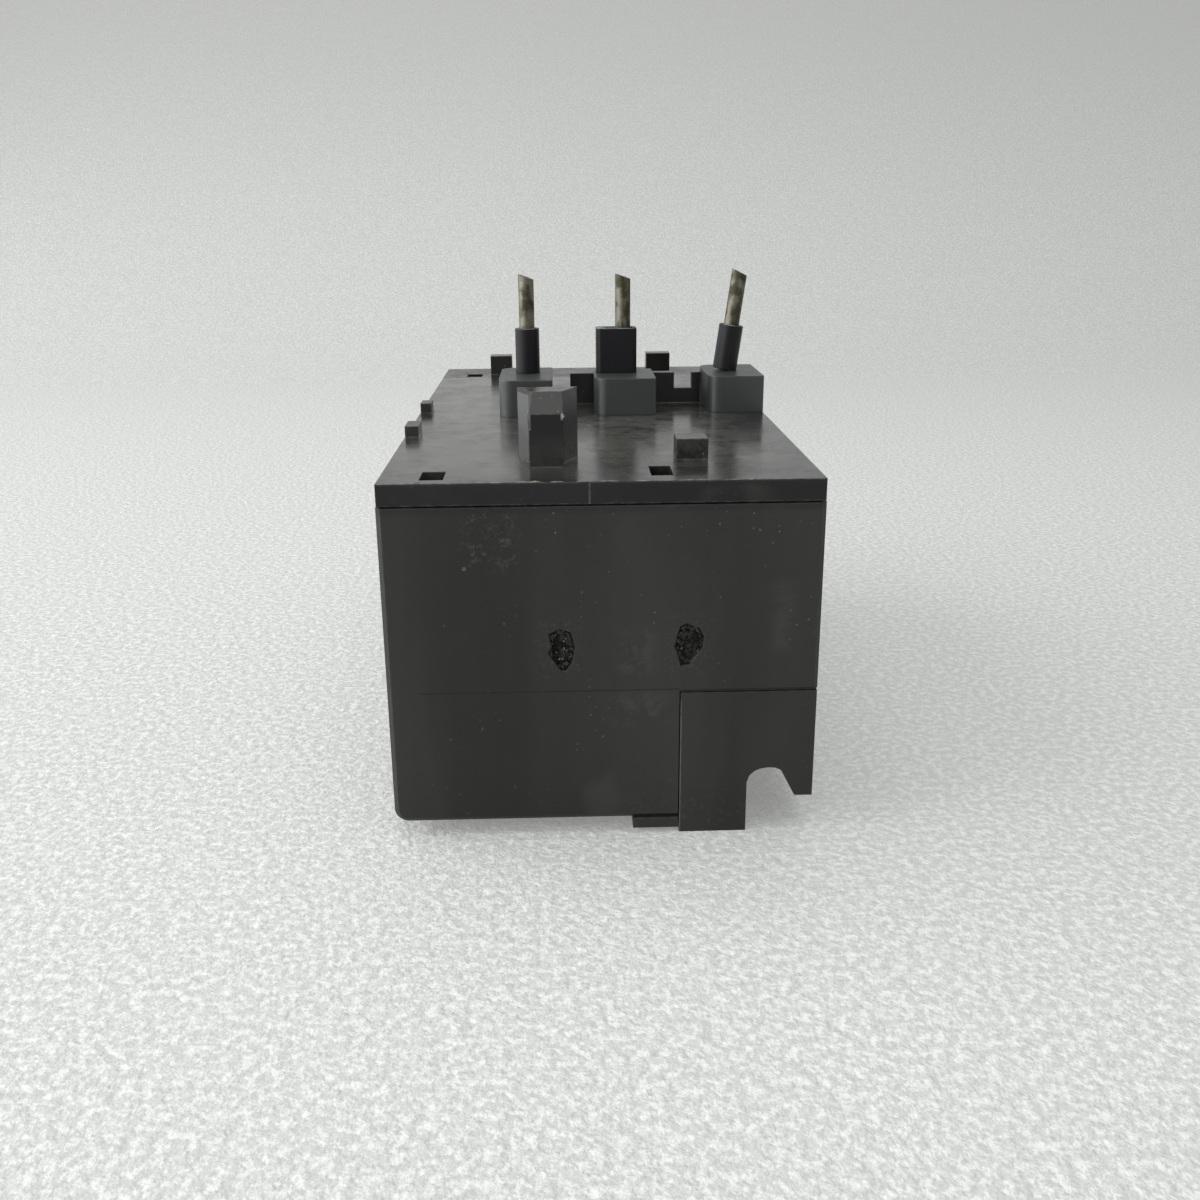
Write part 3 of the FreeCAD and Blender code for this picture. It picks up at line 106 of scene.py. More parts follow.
class Tree:
    """A node tree of a material or the world, with short calls for what both need."""

    def __init__(self, tree: bpy.types.NodeTree) -> None:
        """Empty the tree.

        Args:
            tree: the tree.
        """
        self.nodes = tree.nodes
        self.nodes.clear()

    def node(self, kind: str, **values: object) -> bpy.types.Node:
        """Add a shader node with its inputs fed.

        Args:
            kind: the node's type, without the word ShaderNode.
            values: as feed_all takes them.

        Returns:
            The new node.
        """
        node = self.nodes.new(f"ShaderNode{kind}")
        feed_all(node, **values)
        return node

    def math(self, operation: str, first: object, second: object) -> Socket:
        """One arithmetic step.

        Args:
            operation: name of the operation.
            first: first value or socket.
            second: second value or socket.

        Returns:
            The result.
        """
        node = self.node("Math")
        node.operation = operation
        feed(node.inputs[0], first)
        feed(node.inputs[1], second)
        return node.outputs[0]

    def blend(self, share: Socket, first: Socket, second: Socket) -> Socket:
        """Blend two shaders.

        Args:
            share: share of the second shader.
            first: shader at 0.
            second: shader at 1.

        Returns:
            The blended shader.
        """
        node = self.node("MixShader", Fac=share)
        feed(node.inputs[1], first)
        feed(node.inputs[2], second)
        return node.outputs[0]

    def seen(self) -> Socket:
        """A factor that is 1 for a look from the camera, by reflection or through glass.

        Returns:
            The factor.
        """
        path = self.node("LightPath")
        share = path.outputs["Is Camera Ray"]
        for kind in ("Is Glossy Ray", "Is Transmission Ray"):
            share = self.math("MAXIMUM", share, path.outputs[kind])
        return share


class Board(Tree):
    """A material's tree with short calls for the nodes that the finishes share."""

    EDGE_SAMPLES = 4
    SPECK_CHOICE = (0.55, 0.62)

    def __init__(self, name: str) -> None:
        """Start an empty tree with its output and surface shader.

        Args:
            name: the material's name.
        """
        self.material = bpy.data.materials.new(name)
        self.material.use_nodes = True
        super().__init__(self.material.node_tree)
        self.shader = self.node("BsdfPrincipled")
        self.output = self.node("OutputMaterial", Surface=self.shader.outputs["BSDF"])
        self.place = self.node("TexCoord").outputs["Object"]

    def along(self, axis: str) -> Socket:
        """One of the piece's own coordinates.

        Args:
            axis: X, Y or Z.

        Returns:
            The coordinate, in metres.
        """
        return self.node("SeparateXYZ", Vector=self.place).outputs[axis]

    def grain(self, scale: float, detail: float = 2.0, rough: float = 0.5,
              run: Direction = Direction.NONE) -> Socket:
        """Soft cloudy noise.

        Args:
            scale: cells to the metre.
            detail: number of finer octaves.
            rough: weight of the finer octaves.
            run: way that the grain is drawn out.

        Returns:
            A factor from 0 to 1.
        """
        place = self.node("Mapping", Vector=self.place, Scale=run.value)
        return self.node("TexNoise", Vector=place.outputs["Vector"], Scale=scale, Detail=detail,
                         Roughness=rough).outputs["Fac"]

    def specks(self, scale: float, size: float) -> Socket:
        """Sparse round specks, such as dust.

        Args:
            scale: cells to the metre.
            size: radius of a speck as a share of its cell.

        Returns:
            A factor that is 1 on a speck.
        """
        cells = self.node("TexVoronoi", Vector=self.place, Scale=scale)
        near = self.ramp(cells.outputs["Distance"], size, size / 2)
        split = self.node("SeparateColor", Color=cells.outputs["Color"])
        return self.math("MULTIPLY", near, self.ramp(split.outputs["Red"], *self.SPECK_CHOICE))

    def ramp(self, factor: Socket, low: float, high: float,
             bottom: float = 0.0, top: float = 1.0) -> Socket:
        """Map a factor smoothly, clamped at both ends.

        Args:
            factor: the value to map.
            low: value that gives bottom.
            high: value that gives top; it may be below low.
            bottom: result at low.
            top: result at high.

        Returns:
            The mapped value.
        """
        if low > high:
            low, high, bottom, top = high, low, top, bottom
        node = self.node("MapRange", Value=factor, From_Min=low, From_Max=high, To_Min=bottom,
                         To_Max=top)
        node.interpolation_type = "SMOOTHSTEP"
        return node.outputs["Result"]

    def mix(self, factor: object, first: object, second: object) -> Socket:
        """Blend two colours.

        Args:
            factor: share of the second colour.
            first: colour or socket at 0.
            second: colour or socket at 1.

        Returns:
            The blended colour.
        """
        node = self.node("Mix")
        node.data_type = "RGBA"
        feed(node.inputs["Factor"], factor)
        colours = [item for item in node.inputs if item.type == "RGBA"]
        feed(colours[0], first)
        feed(colours[1], second)
        return next(item for item in node.outputs if item.type == "RGBA")

    def soft_normal(self, radius: float) -> Socket:
        """The normal with sharp edges rounded.

        Args:
            radius: radius of the rounding, in metres.

        Returns:
            The normal.
        """
        node = self.node("Bevel", Radius=radius)
        node.samples = self.EDGE_SAMPLES
        return node.outputs["Normal"]

    def height(self, *layers: tuple[Socket, float], edge: float = 0.0) -> None:
        """Turn height layers into the surface normal, over softly rounded edges.

        Args:
            layers: pairs of a height factor and its depth in metres.
            edge: radius of the rounded look of sharp edges, in metres.
        """
        normal = self.soft_normal(edge) if edge > 0 else None
        for factor, depth in layers:
            bump = self.node("Bump", Height=factor, Distance=depth, Strength=1.0)
            if normal is not None:
                feed(bump.inputs["Normal"], normal)
            normal = bump.outputs["Normal"]
        feed(self.shader.inputs["Normal"], normal)

    def band(self, axis: str, low: float, high: float, soft: float) -> Socket:
        """A mask that is 1 between two planes of the piece.

        Args:
            axis: X, Y or Z.
            low: lower plane, in metres.
            high: upper plane, in metres.
            soft: width of each soft border, in metres.

        Returns:
            The mask.
        """
        value = self.along(axis)
        return self.math("MULTIPLY", self.ramp(value, low - soft, low + soft),
                         self.ramp(value, high + soft, high - soft))


# Finishes


HALF_DEPTH = 45.55
FOOT_DROP = 1.8


def at(across: float, along: float, up: float) -> Vector:
    """A point measured in millimetres from the mid plane, the rear face and the main underside.

    Args:
        across: to the right, seen from the rear.
        along: from the rear face to the front.
        up: above the main underside.

    Returns:
        The point in the row frame, in metres.
    """
    return Vector((across, along - HALF_DEPTH, up + FOOT_DROP)) * MM


@dataclass(frozen=True)
class Mark:
    """A colour inside a box of the relay, broken up by noise: a stain, smudge or line, and in some
    uses painted shade or a painted highlight.
    """

    low: Point
    high: Point
    colour: Colour
    strength: float
    soft: float = 0.8
    broken: float = 0.0
    scale: float = 600.0

    def mask(self, board: Board) -> Socket:
        """How far the mark covers each spot.

        Args:
            board: the material's board.

        Returns:
            The mask.
        """
        cover = None
        for axis, start, end in zip("XYZ", at(*self.low), at(*self.high)):
            band = board.band(axis, start, end, self.soft * MM)
            cover = band if cover is None else board.math("MULTIPLY", cover, band)
        if self.broken > 0:
            middle = 0.3 + 0.4 * self.broken
            holes = board.ramp(board.grain(self.scale, 4.0, 0.7), middle - 0.1, middle + 0.1)
            cover = board.math("MULTIPLY", cover, holes)
        return board.math("MULTIPLY", cover, self.strength)


@dataclass(frozen=True)
class MouldedPlastic:
    """Moulded plastic: cloudy tone, fine grain, dust, smudges, scratches, softened edges, and marks
    that also paint shade and highlights.
    """

    name: str
    colour: Colour
    second: Colour
    rough: float
    rough_spread: float = 0.12
    grain_depth: float = 0.012 * MM
    grain_scale: float = 5200.0
    cloud_scale: float = 90.0
    dust: float = 0.0
    dust_colour: Colour = (0.34, 0.33, 0.30)
    dust_scale: float = 1500.0
    dust_size: float = 0.2
    patch_scale: float = 140.0
    scratches: float = 0.0
    scratch_turns: tuple[float, ...] = (0.35, -0.8, 1.3)
    scratch_stretch: Point = (60.0, 2600.0, 60.0)
    edge_round: float = 0.18 * MM
    edge_wear: float = 0.0
    wear_radius: float = 0.22 * MM
    wear_scale: float = 900.0
    wear_colour: Colour = (0.10, 0.10, 0.092)
    coat: float = 0.0
    coat_rough: float = 0.2
    gloss: float = 0.5
    run: Direction = Direction.NONE
    marks: tuple[Mark, ...] = ()
    polish: Optional[Mark] = None
    slot: str = ""

    def build(self) -> bpy.types.Material:
        """Make the node material.

        Returns:
            The finished material.
        """
        board = Board(self.name)
        cloud = board.ramp(board.grain(self.cloud_scale, 4.0, 0.6, self.run), 0.3, 0.7)
        tone = board.mix(cloud, self.colour, self.second)
        spread = self.rough_spread / 2
        rough = board.ramp(board.grain(self.cloud_scale * 2.3, 3.0, 0.65), 0.25, 0.75,
                           self.rough - spread, self.rough + spread)
        if self.dust > 0:
            patches = board.ramp(board.grain(self.patch_scale, 3.0, 0.7), 0.5, 0.72, 0.0, self.dust)
            dots = board.math("MULTIPLY", board.specks(self.dust_scale, self.dust_size), patches)
            tone = board.mix(dots, tone, self.dust_colour)
        # marks blend in stains, dust and lines, and also painted shade and painted highlights
        for mark in self.marks:
            tone = board.mix(mark.mask(board), tone, mark.colour)
        if self.scratches > 0:
            tone, rough = self.add_scratches(board, tone, rough)
        if self.edge_wear > 0:
            tone = self.add_edge_wear(board, tone)
        feed_all(board.shader, Base_Color=tone, Roughness=rough, Specular_IOR_Level=self.gloss,
                 Coat_Weight=self.polish.mask(board) if self.polish else self.coat,
                 Coat_Roughness=self.coat_rough)
        board.height((board.grain(self.grain_scale, 1.0, 0.4), self.grain_depth),
                     edge=self.edge_round)
        return board.material

    def add_scratches(self, board: Board, tone: Socket, rough: Socket) -> tuple[Socket, Socket]:
        """Lay fine pale scratches over the tone and roughness.

        Args:
            board: the material's board.
            tone: colour so far.
            rough: roughness so far.

        Returns:
            The new colour and roughness.
        """
        marks = None
        for turn in self.scratch_turns:
            spin = board.node("Mapping", Vector=board.place, Rotation=(0.0, 0.0, turn),
                              Scale=self.scratch_stretch)
            line = board.node("TexNoise", Vector=spin.outputs["Vector"], Scale=1.0, Detail=3.0)
            mark = board.ramp(line.outputs["Fac"], 0.66, 0.74)
            marks = mark if marks is None else board.math("MAXIMUM", marks, mark)
        patch = board.ramp(board.grain(70.0), 0.45, 0.7, 0.0, self.scratches)
        marks = board.math("MULTIPLY", marks, patch)
        return board.mix(marks, tone, self.wear_colour), board.math("ADD", rough, marks)

    def add_edge_wear(self, board: Board, tone: Socket) -> Socket:
        """Pale worn lines along the edges.

        Args:
            board: the material's board.
            tone: colour so far.

        Returns:
            The new colour.
        """
        turn = board.node("VectorMath")
        turn.operation = "DOT_PRODUCT"
        feed(turn.inputs[0], board.soft_normal(self.wear_radius))
        feed(turn.inputs[1], board.node("NewGeometry").outputs["Normal"])
        edge = board.ramp(turn.outputs["Value"], 0.995, 0.93)
        broken = board.ramp(board.grain(self.wear_scale, 3.0, 0.7), 0.38, 0.62, 0.0, self.edge_wear)
        return board.mix(board.math("MULTIPLY", edge, broken), tone, self.wear_colour)


@dataclass(frozen=True)
class TarnishedMetal:
    """Bare or plated metal with streaks of tarnish."""

    name: str
    colour: Colour
    stain: Colour
    rough: float
    stain_share: float = 0.4
    run: Direction = Direction.ALONG_Z
    streak_scale: float = 900.0
    grain_depth: float = 0.006 * MM
    edge_round: float = 0.08 * MM

    def build(self) -> bpy.types.Material:
        """Make the node material.

        Returns:
            The finished material.
        """
        board = Board(self.name)
        streak = board.grain(self.streak_scale, 4.0, 0.65, self.run)
        blotch = board.grain(self.streak_scale * 0.45, 3.0, 0.6)
        both = board.math("MULTIPLY", board.math("ADD", streak, blotch), 0.5)
        middle = 0.5 + (0.5 - self.stain_share) * 0.3
        stain = board.ramp(both, middle - 0.07, middle + 0.07)
        rough = board.ramp(blotch, 0.3, 0.7, self.rough - 0.08, self.rough + 0.14)
        feed_all(board.shader, Base_Color=board.mix(stain, self.colour, self.stain),
                 Roughness=rough, Metallic=1.0)
        board.height((board.grain(self.streak_scale * 4.0, 2.0, 0.5, self.run), self.grain_depth),
                     edge=self.edge_round)
        return board.material


@dataclass(frozen=True)
class ClearPlastic:
    """Clear moulded cover, faintly smoky, with light scuffs."""

    name: str
    colour: Colour = (0.93, 0.95, 0.94)
    smoke: Colour = (0.8, 0.82, 0.8)
    rough: float = 0.06
    clearness: float = 0.94
    refraction: float = 1.49

    def build(self) -> bpy.types.Material:
        """Make the node material.

        Returns:
            The finished material.
        """
        board = Board(self.name)
        cloud = board.grain(160.0, 3.0)
        tone = board.mix(board.ramp(cloud, 0.3, 0.7, 0.0, 0.3), self.colour, self.smoke)
        rough = board.ramp(cloud, 0.35, 0.75, self.rough, self.rough + 0.1)
        feed_all(board.shader, Base_Color=tone, Roughness=rough,
                 Transmission_Weight=self.clearness, IOR=self.refraction)
        return board.material


@dataclass(frozen=True)
class FoamSheet:
    """Pale foam sheet: a fine pebbled skin, paler in patches, with painted shade that turns it
    greyer higher up the backdrop.
    """

    name: str = "pale_floor"
    colour: Colour = (0.59, 0.60, 0.58)
    second: Colour = (0.89, 0.90, 0.88)
    painted_upper_shade: Colour = (0.50, 0.50, 0.495)
    shade_height: float = 0.22
    glow: Colour = (0.62, 0.63, 0.61)
    glow_share: float = 0.37
    rough: float = 0.42
    patch_scale: float = 1050.0
    sheen_scale: float = 1500.0
    pebbles: Pair = (700.0, 0.36 * MM)
    pores: Pair = (1900.0, 0.18 * MM)

    def build(self) -> bpy.types.Material:
        """Make the node material, with the light that the foam lets through where it is seen.

        Returns:
            The finished material.
        """
        board = Board(self.name)
        through = board.node("Emission", Color=self.glow)
        share = board.math("MULTIPLY", board.seen(), self.glow_share)
        feed(board.output.inputs["Surface"],
             board.blend(share, board.shader.outputs["BSDF"], through.outputs["Emission"]))
        cloud = board.ramp(board.grain(self.patch_scale, 3.0, 0.7), 0.42, 0.64)
        # painted shade: the sheet's colour goes greyer with height up the sweep
        height = board.ramp(board.along("Z"), 0.0, self.shade_height)
        tone = board.mix(height, board.mix(cloud, self.colour, self.second), self.painted_upper_shade)
        rough = board.ramp(board.grain(self.sheen_scale), 0.35, 0.65, self.rough - 0.16,
                           self.rough + 0.2)
        feed_all(board.shader, Base_Color=tone, Roughness=rough)
        board.height((board.grain(self.pebbles[0], 2.0, 0.55), self.pebbles[1]),
                     (board.grain(self.pores[0], 2.0, 0.6), self.pores[1]))
        return board.material


PALE_DUST = (0.1, 0.1, 0.088)
REAR_MARKS_AND_PAINTED_LIGHT = (
    Mark((-19.0, -0.1, 14.84), (7.9, 0.4, 14.96), (0.001, 0.001, 0.001), 0.95, 0.07, 0.15, 300.0),
    # painted shadow: a near-black line in the gap above the rear plate's top edge
    Mark((7.9, -0.1, 14.55), (22.4, 0.4, 14.85), (0.001, 0.001, 0.001), 0.9, 0.06, 0.1, 300.0),
    # painted highlight: a pale line down the rear plate's left edge, where its side catches the
    # light
    Mark((8.07, -0.1, -1.8), (8.2, 0.3, 13.6), (0.14, 0.14, 0.125), 0.8, 0.04, 0.3, 500.0),
    Mark((-14.0, -0.1, 27.0), (12.0, 0.4, 35.0), (0.006, 0.006, 0.006), 0.55, 3.2, 0.35, 90.0),
    Mark((-1.0, -0.1, 25.0), (6.5, 0.4, 33.0), (0.026, 0.025, 0.017), 0.5, 2.2, 0.5, 260.0),
    Mark((1.6, -0.1, 16.5), (5.2, 0.4, 21.5), (0.075, 0.077, 0.072), 0.6, 1.2, 0.5, 500.0),
    Mark((0.8, -0.1, 11.2), (6.8, 0.4, 14.4), (0.075, 0.077, 0.068), 0.6, 1.2, 0.55, 600.0),
    Mark((-13.8, -0.1, 28.4), (-8.6, 0.4, 34.4), PALE_DUST, 0.95, 1.1, 0.72, 1700.0),
    Mark((-14.1, -0.1, 28.2), (-13.8, 0.4, 28.5), (0.16, 0.16, 0.14), 0.9, 0.1, 0.3, 3000.0),
    Mark((-6.9, -0.1, 16.4), (-2.1, 0.4, 22.8), PALE_DUST, 0.35, 0.7, 0.72, 2400.0),
    Mark((6.4, -0.1, 16.6), (11.3, 0.4, 23.2), PALE_DUST, 0.35, 0.7, 0.72, 2400.0),
    Mark((17.5, -0.1, 19.0), (19.6, 0.4, 26.5), (0.06, 0.06, 0.056), 0.6, 0.9, 0.5, 420.0),
    # darker band along the bottom of the rear face
    Mark((-23.0, -0.1, -2.0), (23.0, 0.4, 3.2), (0.006, 0.0065, 0.0065), 0.5, 3.0, 0.2, 120.0),
    Mark((2.5, -0.1, -2.0), (15.0, 0.4, 3.0), PALE_DUST, 0.5, 1.5, 0.8, 1500.0),
    # painted shadow: a dark band on the case just below the lid's rear edge, standing for the shade
    # in the joint
    Mark((-23.0, -0.1, 34.0), (23.0, 0.6, 34.7), (0.004, 0.004, 0.004), 0.7, 0.35, 0.2, 200.0),
)
LID_MARKS_AND_PAINTED_LIGHT = (
    # painted shade: the hook's front face, turned towards the camera, darkened almost to black
    Mark((-7.75, 6.8, 37.3), (-3.4, 7.1, 42.6), (0.001, 0.001, 0.001), 0.9, 0.03),
    Mark((-22.6, -0.1, 34.6), (22.6, 0.06, 36.9), (0.002, 0.002, 0.002), 0.9, 0.08, 0.1, 500.0),
    Mark((-24.0, 15.0, 37.35), (-19.0, 75.0, 41.0), (0.002, 0.002, 0.002), 0.85, 0.1),
    # painted sheen: the left part of the lid's top made paler where the left light reflects in it
    Mark((-22.5, 2.0, 37.0), (1.0, 74.0, 37.3), (0.09, 0.09, 0.083), 0.8, 4.0, 0.2, 110.0),
    Mark((-1.35, -0.1, 34.7), (-1.15, 0.4, 37.2), (0.07, 0.07, 0.064), 0.8, 0.06, 0.3, 900.0),
    Mark((-22.4, 7.95, 36.9), (-19.0, 8.15, 37.3), (0.004, 0.004, 0.004), 0.8, 0.06),
    Mark((-22.4, 75.7, 36.9), (22.4, 75.9, 37.3), (0.004, 0.004, 0.004), 0.6, 0.08, 0.2),
    Mark((-13.0, 4.0, 37.0), (-8.0, 13.0, 37.3), (0.13, 0.125, 0.1), 0.75, 1.4, 0.62, 1100.0),
    Mark((-6.0, 8.0, 37.0), (18.0, 44.0, 37.3), (0.24, 0.235, 0.2), 0.75, 4.0, 0.38, 420.0),
    Mark((-22.0, 4.0, 37.0), (-6.0, 60.0, 37.3), (0.16, 0.157, 0.14), 0.65, 4.0, 0.42, 260.0),
    # painted light: the hook's left face made paler where the left light falls on it
    Mark((-9.6, 7.16, 37.3), (-7.3, 12.6, 44.2), (0.085, 0.087, 0.086), 0.9, 0.05),
)
LID_POLISH = Mark((-22.6, 0.2, 37.0), (22.6, 76.0, 37.25), (0.0, 0.0, 0.0), 0.48, 0.08, 0.12, 130.0)
CASE_BLACK = MouldedPlastic("case_plastic", (0.012, 0.0125, 0.0105), (0.029, 0.03, 0.0262), 0.55,
                            dust=0.3, scratches=0.2, edge_wear=0.3, cloud_scale=48.0, gloss=0.36,
                            run=Direction.ALONG_Z, marks=REAR_MARKS_AND_PAINTED_LIGHT)
LID_BLACK = MouldedPlastic("lid_plastic", (0.0085, 0.0088, 0.0081), (0.0165, 0.0167, 0.015), 0.22,
                           rough_spread=0.16, dust=0.9, scratches=0.7, edge_wear=0.85,
                           grain_depth=0.004 * MM, cloud_scale=130.0, gloss=0.36,
                           marks=LID_MARKS_AND_PAINTED_LIGHT, polish=LID_POLISH)
TORN_PLASTIC = MouldedPlastic("torn_plastic", (0.002, 0.002, 0.002), (0.012, 0.012, 0.011), 0.7,
                              cloud_scale=900.0, grain_depth=0.05 * MM, edge_round=0.0, gloss=0.3,
                              slot="case_plastic")
PALE_FLASH = MouldedPlastic("pale_flash", (0.1, 0.1, 0.092), (0.3, 0.3, 0.27), 0.6,
                            cloud_scale=900.0, grain_depth=0.03 * MM, edge_round=0.0,
                            slot="lid_plastic")
BLOCK_GREY = MouldedPlastic("block_plastic", (0.023, 0.0262, 0.0262), (0.03, 0.0335, 0.033), 0.46,
                            edge_wear=0.5, edge_round=0.25 * MM, gloss=0.6, coat=0.2)
SLEEVE_BLACK = MouldedPlastic("sleeve_plastic", (0.005, 0.005, 0.0062), (0.0078, 0.008, 0.01),
                              0.42, grain_depth=0.005 * MM, gloss=0.26)
PIN_TIN = TarnishedMetal("tinned_metal", (0.19, 0.181, 0.144), (0.072, 0.067, 0.045), 0.5,
                         stain_share=0.55, streak_scale=1300.0)
COPPER = TarnishedMetal("copper", (0.78, 0.43, 0.27), (0.33, 0.17, 0.11), 0.36, stain_share=0.3)
BIMETAL = TarnishedMetal("bimetal", (0.6, 0.58, 0.54), (0.34, 0.32, 0.29), 0.34, stain_share=0.3)
HEATER = TarnishedMetal("heater_alloy", (0.42, 0.4, 0.37), (0.16, 0.13, 0.12), 0.45)
ZINC_STEEL = TarnishedMetal("plated_steel", (0.62, 0.62, 0.59), (0.4, 0.38, 0.33), 0.33,
                            stain_share=0.25, run=Direction.NONE)
CONTACT_BRASS = TarnishedMetal("contact_brass", (0.76, 0.58, 0.28), (0.45, 0.32, 0.14), 0.32,
                               stain_share=0.25)
SPRING_STEEL = TarnishedMetal("spring_steel", (0.48, 0.47, 0.45), (0.26, 0.24, 0.22), 0.3,
                              stain_share=0.2, run=Direction.NONE)
NATURAL = MouldedPlastic("mechanism_plastic", (0.62, 0.6, 0.52), (0.68, 0.66, 0.58), 0.45)
DIAL_WHITE = MouldedPlastic("dial_plastic", (0.66, 0.66, 0.62), (0.72, 0.72, 0.68), 0.38, dust=0.2)
SELECTOR_GREY = MouldedPlastic("selector_plastic", (0.12, 0.13, 0.135), (0.15, 0.16, 0.165), 0.4)
RESET_BLUE = MouldedPlastic("reset_plastic", (0.02, 0.085, 0.33), (0.025, 0.1, 0.37), 0.3,
                            dust=0.2, coat=0.15)
STOP_RED = MouldedPlastic("stop_plastic", (0.46, 0.022, 0.014), (0.52, 0.03, 0.02), 0.3, dust=0.2,
                          coat=0.15)
TEST_GREY = MouldedPlastic("test_plastic", (0.26, 0.27, 0.27), (0.3, 0.31, 0.31), 0.4)
FLAG_ORANGE = MouldedPlastic("flag_plastic", (0.78, 0.3, 0.02), (0.82, 0.35, 0.03), 0.42)
COVER_CLEAR = ClearPlastic("clear_plastic")
FLOOR = FoamSheet()
Finish = MouldedPlastic | TarnishedMetal | ClearPlastic | FoamSheet


class Shop:
    """Builds each finish once and gives it to frame nodes and pieces."""

    def __init__(self) -> None:
        """Start with no finish built."""
        self.built: dict[str, bpy.types.Material] = {}

    def material(self, finish: Finish) -> bpy.types.Material:
        """The finish's material, made on first use.

        Args:
            finish: the finish wanted.

        Returns:
            Its material.
        """
        if finish.name not in self.built:
            self.built[finish.name] = finish.build()
        return self.built[finish.name]

    def dress(self, finish: Finish, *nodes: str) -> None:
        """Give frame nodes a finish.

        Args:
            finish: the finish.
            nodes: names of the frame nodes.
        """
        for name in nodes:
            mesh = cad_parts[name].data
            mesh.materials.clear()
            mesh.materials.append(self.material(finish))
            LOG.info("%s: %s", name, finish.name)


SHOP = Shop()


def add_piece(name: str, mesh: Mesh, body: str, finish: Finish,
              smooth: bool = False) -> bpy.types.Object:
    """Turn a mesh into a piece that rides on a body.

    Args:
        name: the piece's name.
        mesh: its mesh, in the row frame.
        body: the body that it rides on.
        finish: its finish.
        smooth: whether its faces are shaded smooth.

    Returns:
        The new object.
    """
    data = bpy.data.meshes.new(name)
    bmesh.ops.recalc_face_normals(mesh, faces=mesh.faces)
    mesh.to_mesh(data)
    mesh.free()
    for face in data.polygons:
        face.use_smooth = smooth
    piece = bpy.data.objects.new(name, data)
    bpy.context.scene.collection.objects.link(piece)
    data.materials.append(SHOP.material(finish))
    getattr(finish, "slot", "") or finish.name
    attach(piece, body)
    LOG.info("%s on %s", name, body)
    return piece


# Mesh helpers


def stack_rings(mesh: Mesh, rings: Sequence[Sequence[bmesh.types.BMVert]]) -> None:
    """Close a form through rings of equally many corners, with a face over each end.

    Args:
        mesh: mesh that holds the corners.
        rings: the rings in order.
    """
    for first, second in zip(rings, rings[1:]):
        for index in range(len(first)):
            after = (index + 1) % len(first)
            mesh.faces.new((first[index], first[after], second[after], second[index]))
    mesh.faces.new(rings[0])
    mesh.faces.new(rings[-1])


def add_ridge(mesh: Mesh, path: Sequence[Vector], side: Sequence[Vector],
              rise: Sequence[Vector]) -> None:
    """A closed thin ridge along a path, with its own width and height at each point.

    Args:
        mesh: mesh that takes the ridge.
        path: points of the ridge's foot.
        side: step across the foot at each point.
        rise: step from the foot to the crest at each point.
    """
    rings = []
    for spot, across, up in zip(path, side, rise):
        rings.append([mesh.verts.new(spot), mesh.verts.new(spot + across),
                      mesh.verts.new(spot + across * 0.5 + up)])
    stack_rings(mesh, rings)


def add_crumb(mesh: Mesh, middle: Vector, radius: float, chance: random.Random) -> None:
    """A small angular crumb.

    Args:
        mesh: mesh that takes the crumb.
        middle: its middle.
        radius: its size.
        chance: source of its uneven shape.
    """
    ball = bmesh.ops.create_icosphere(mesh, subdivisions=1, radius=radius)
    for vert in ball["verts"]:
        vert.co = middle + vert.co * chance.uniform(0.65, 1.15)


# Camera and studio


@dataclass
class PhotoCamera:
    """Camera at the photograph's viewing angle, fitted to the relay's edges."""

    place: Point = (-3.98, -162.98, 65.08)
    yaw: float = 0.0313067
    pitch: float = 0.316279
    roll: float = 0.0074814
    focal_pixels: float = 1216.67
    frame_pixels: float = 1200.0
    sensor_width: float = 36.0
    near: float = 1.0 * MM

    def build(self) -> bpy.types.Object:
        """Make the camera and choose it.

        Returns:
            The camera.
        """
        forward = Vector((math.sin(self.yaw) * math.cos(self.pitch),
                          math.cos(self.yaw) * math.cos(self.pitch), -math.sin(self.pitch)))
        right = Vector((math.cos(self.yaw), -math.sin(self.yaw), 0.0))
        down = forward.cross(right)
        side = right * math.cos(self.roll) + down * math.sin(self.roll)
        drop = down * math.cos(self.roll) - right * math.sin(self.roll)
        lens = bpy.data.cameras.new("photo_camera")
        lens.sensor_width = self.sensor_width
        lens.lens = self.focal_pixels / self.frame_pixels * self.sensor_width
        lens.clip_start = self.near
        camera = bpy.data.objects.new("photo_camera", lens)
        turn = Matrix((side, -drop, -forward)).transposed().to_4x4()
        camera.matrix_world = Matrix.Translation(Vector(self.place) * MM) @ turn
        bpy.context.scene.collection.objects.link(camera)
        bpy.context.scene.camera = camera
        LOG.info("camera placed")
        return camera


@dataclass(frozen=True)
class Lamp:
    """A square soft light."""

    name: str
    place: Point
    target: Point
    width: float
    power: float

    def hang(self) -> None:
        """Put the light into the scene."""
        lamp = bpy.data.lights.new(self.name, "AREA")
        lamp.shape = "SQUARE"
        lamp.size = self.width
        lamp.energy = self.power
        holder = bpy.data.objects.new(self.name, lamp)
        aim = Vector(self.target) - Vector(self.place)
        turn = aim.to_track_quat("-Z", "Y").to_matrix().to_4x4()
        holder.matrix_world = Matrix.Translation(Vector(self.place) * MM) @ turn
        bpy.context.scene.collection.objects.link(holder)
        LOG.info("%s hung", self.name)


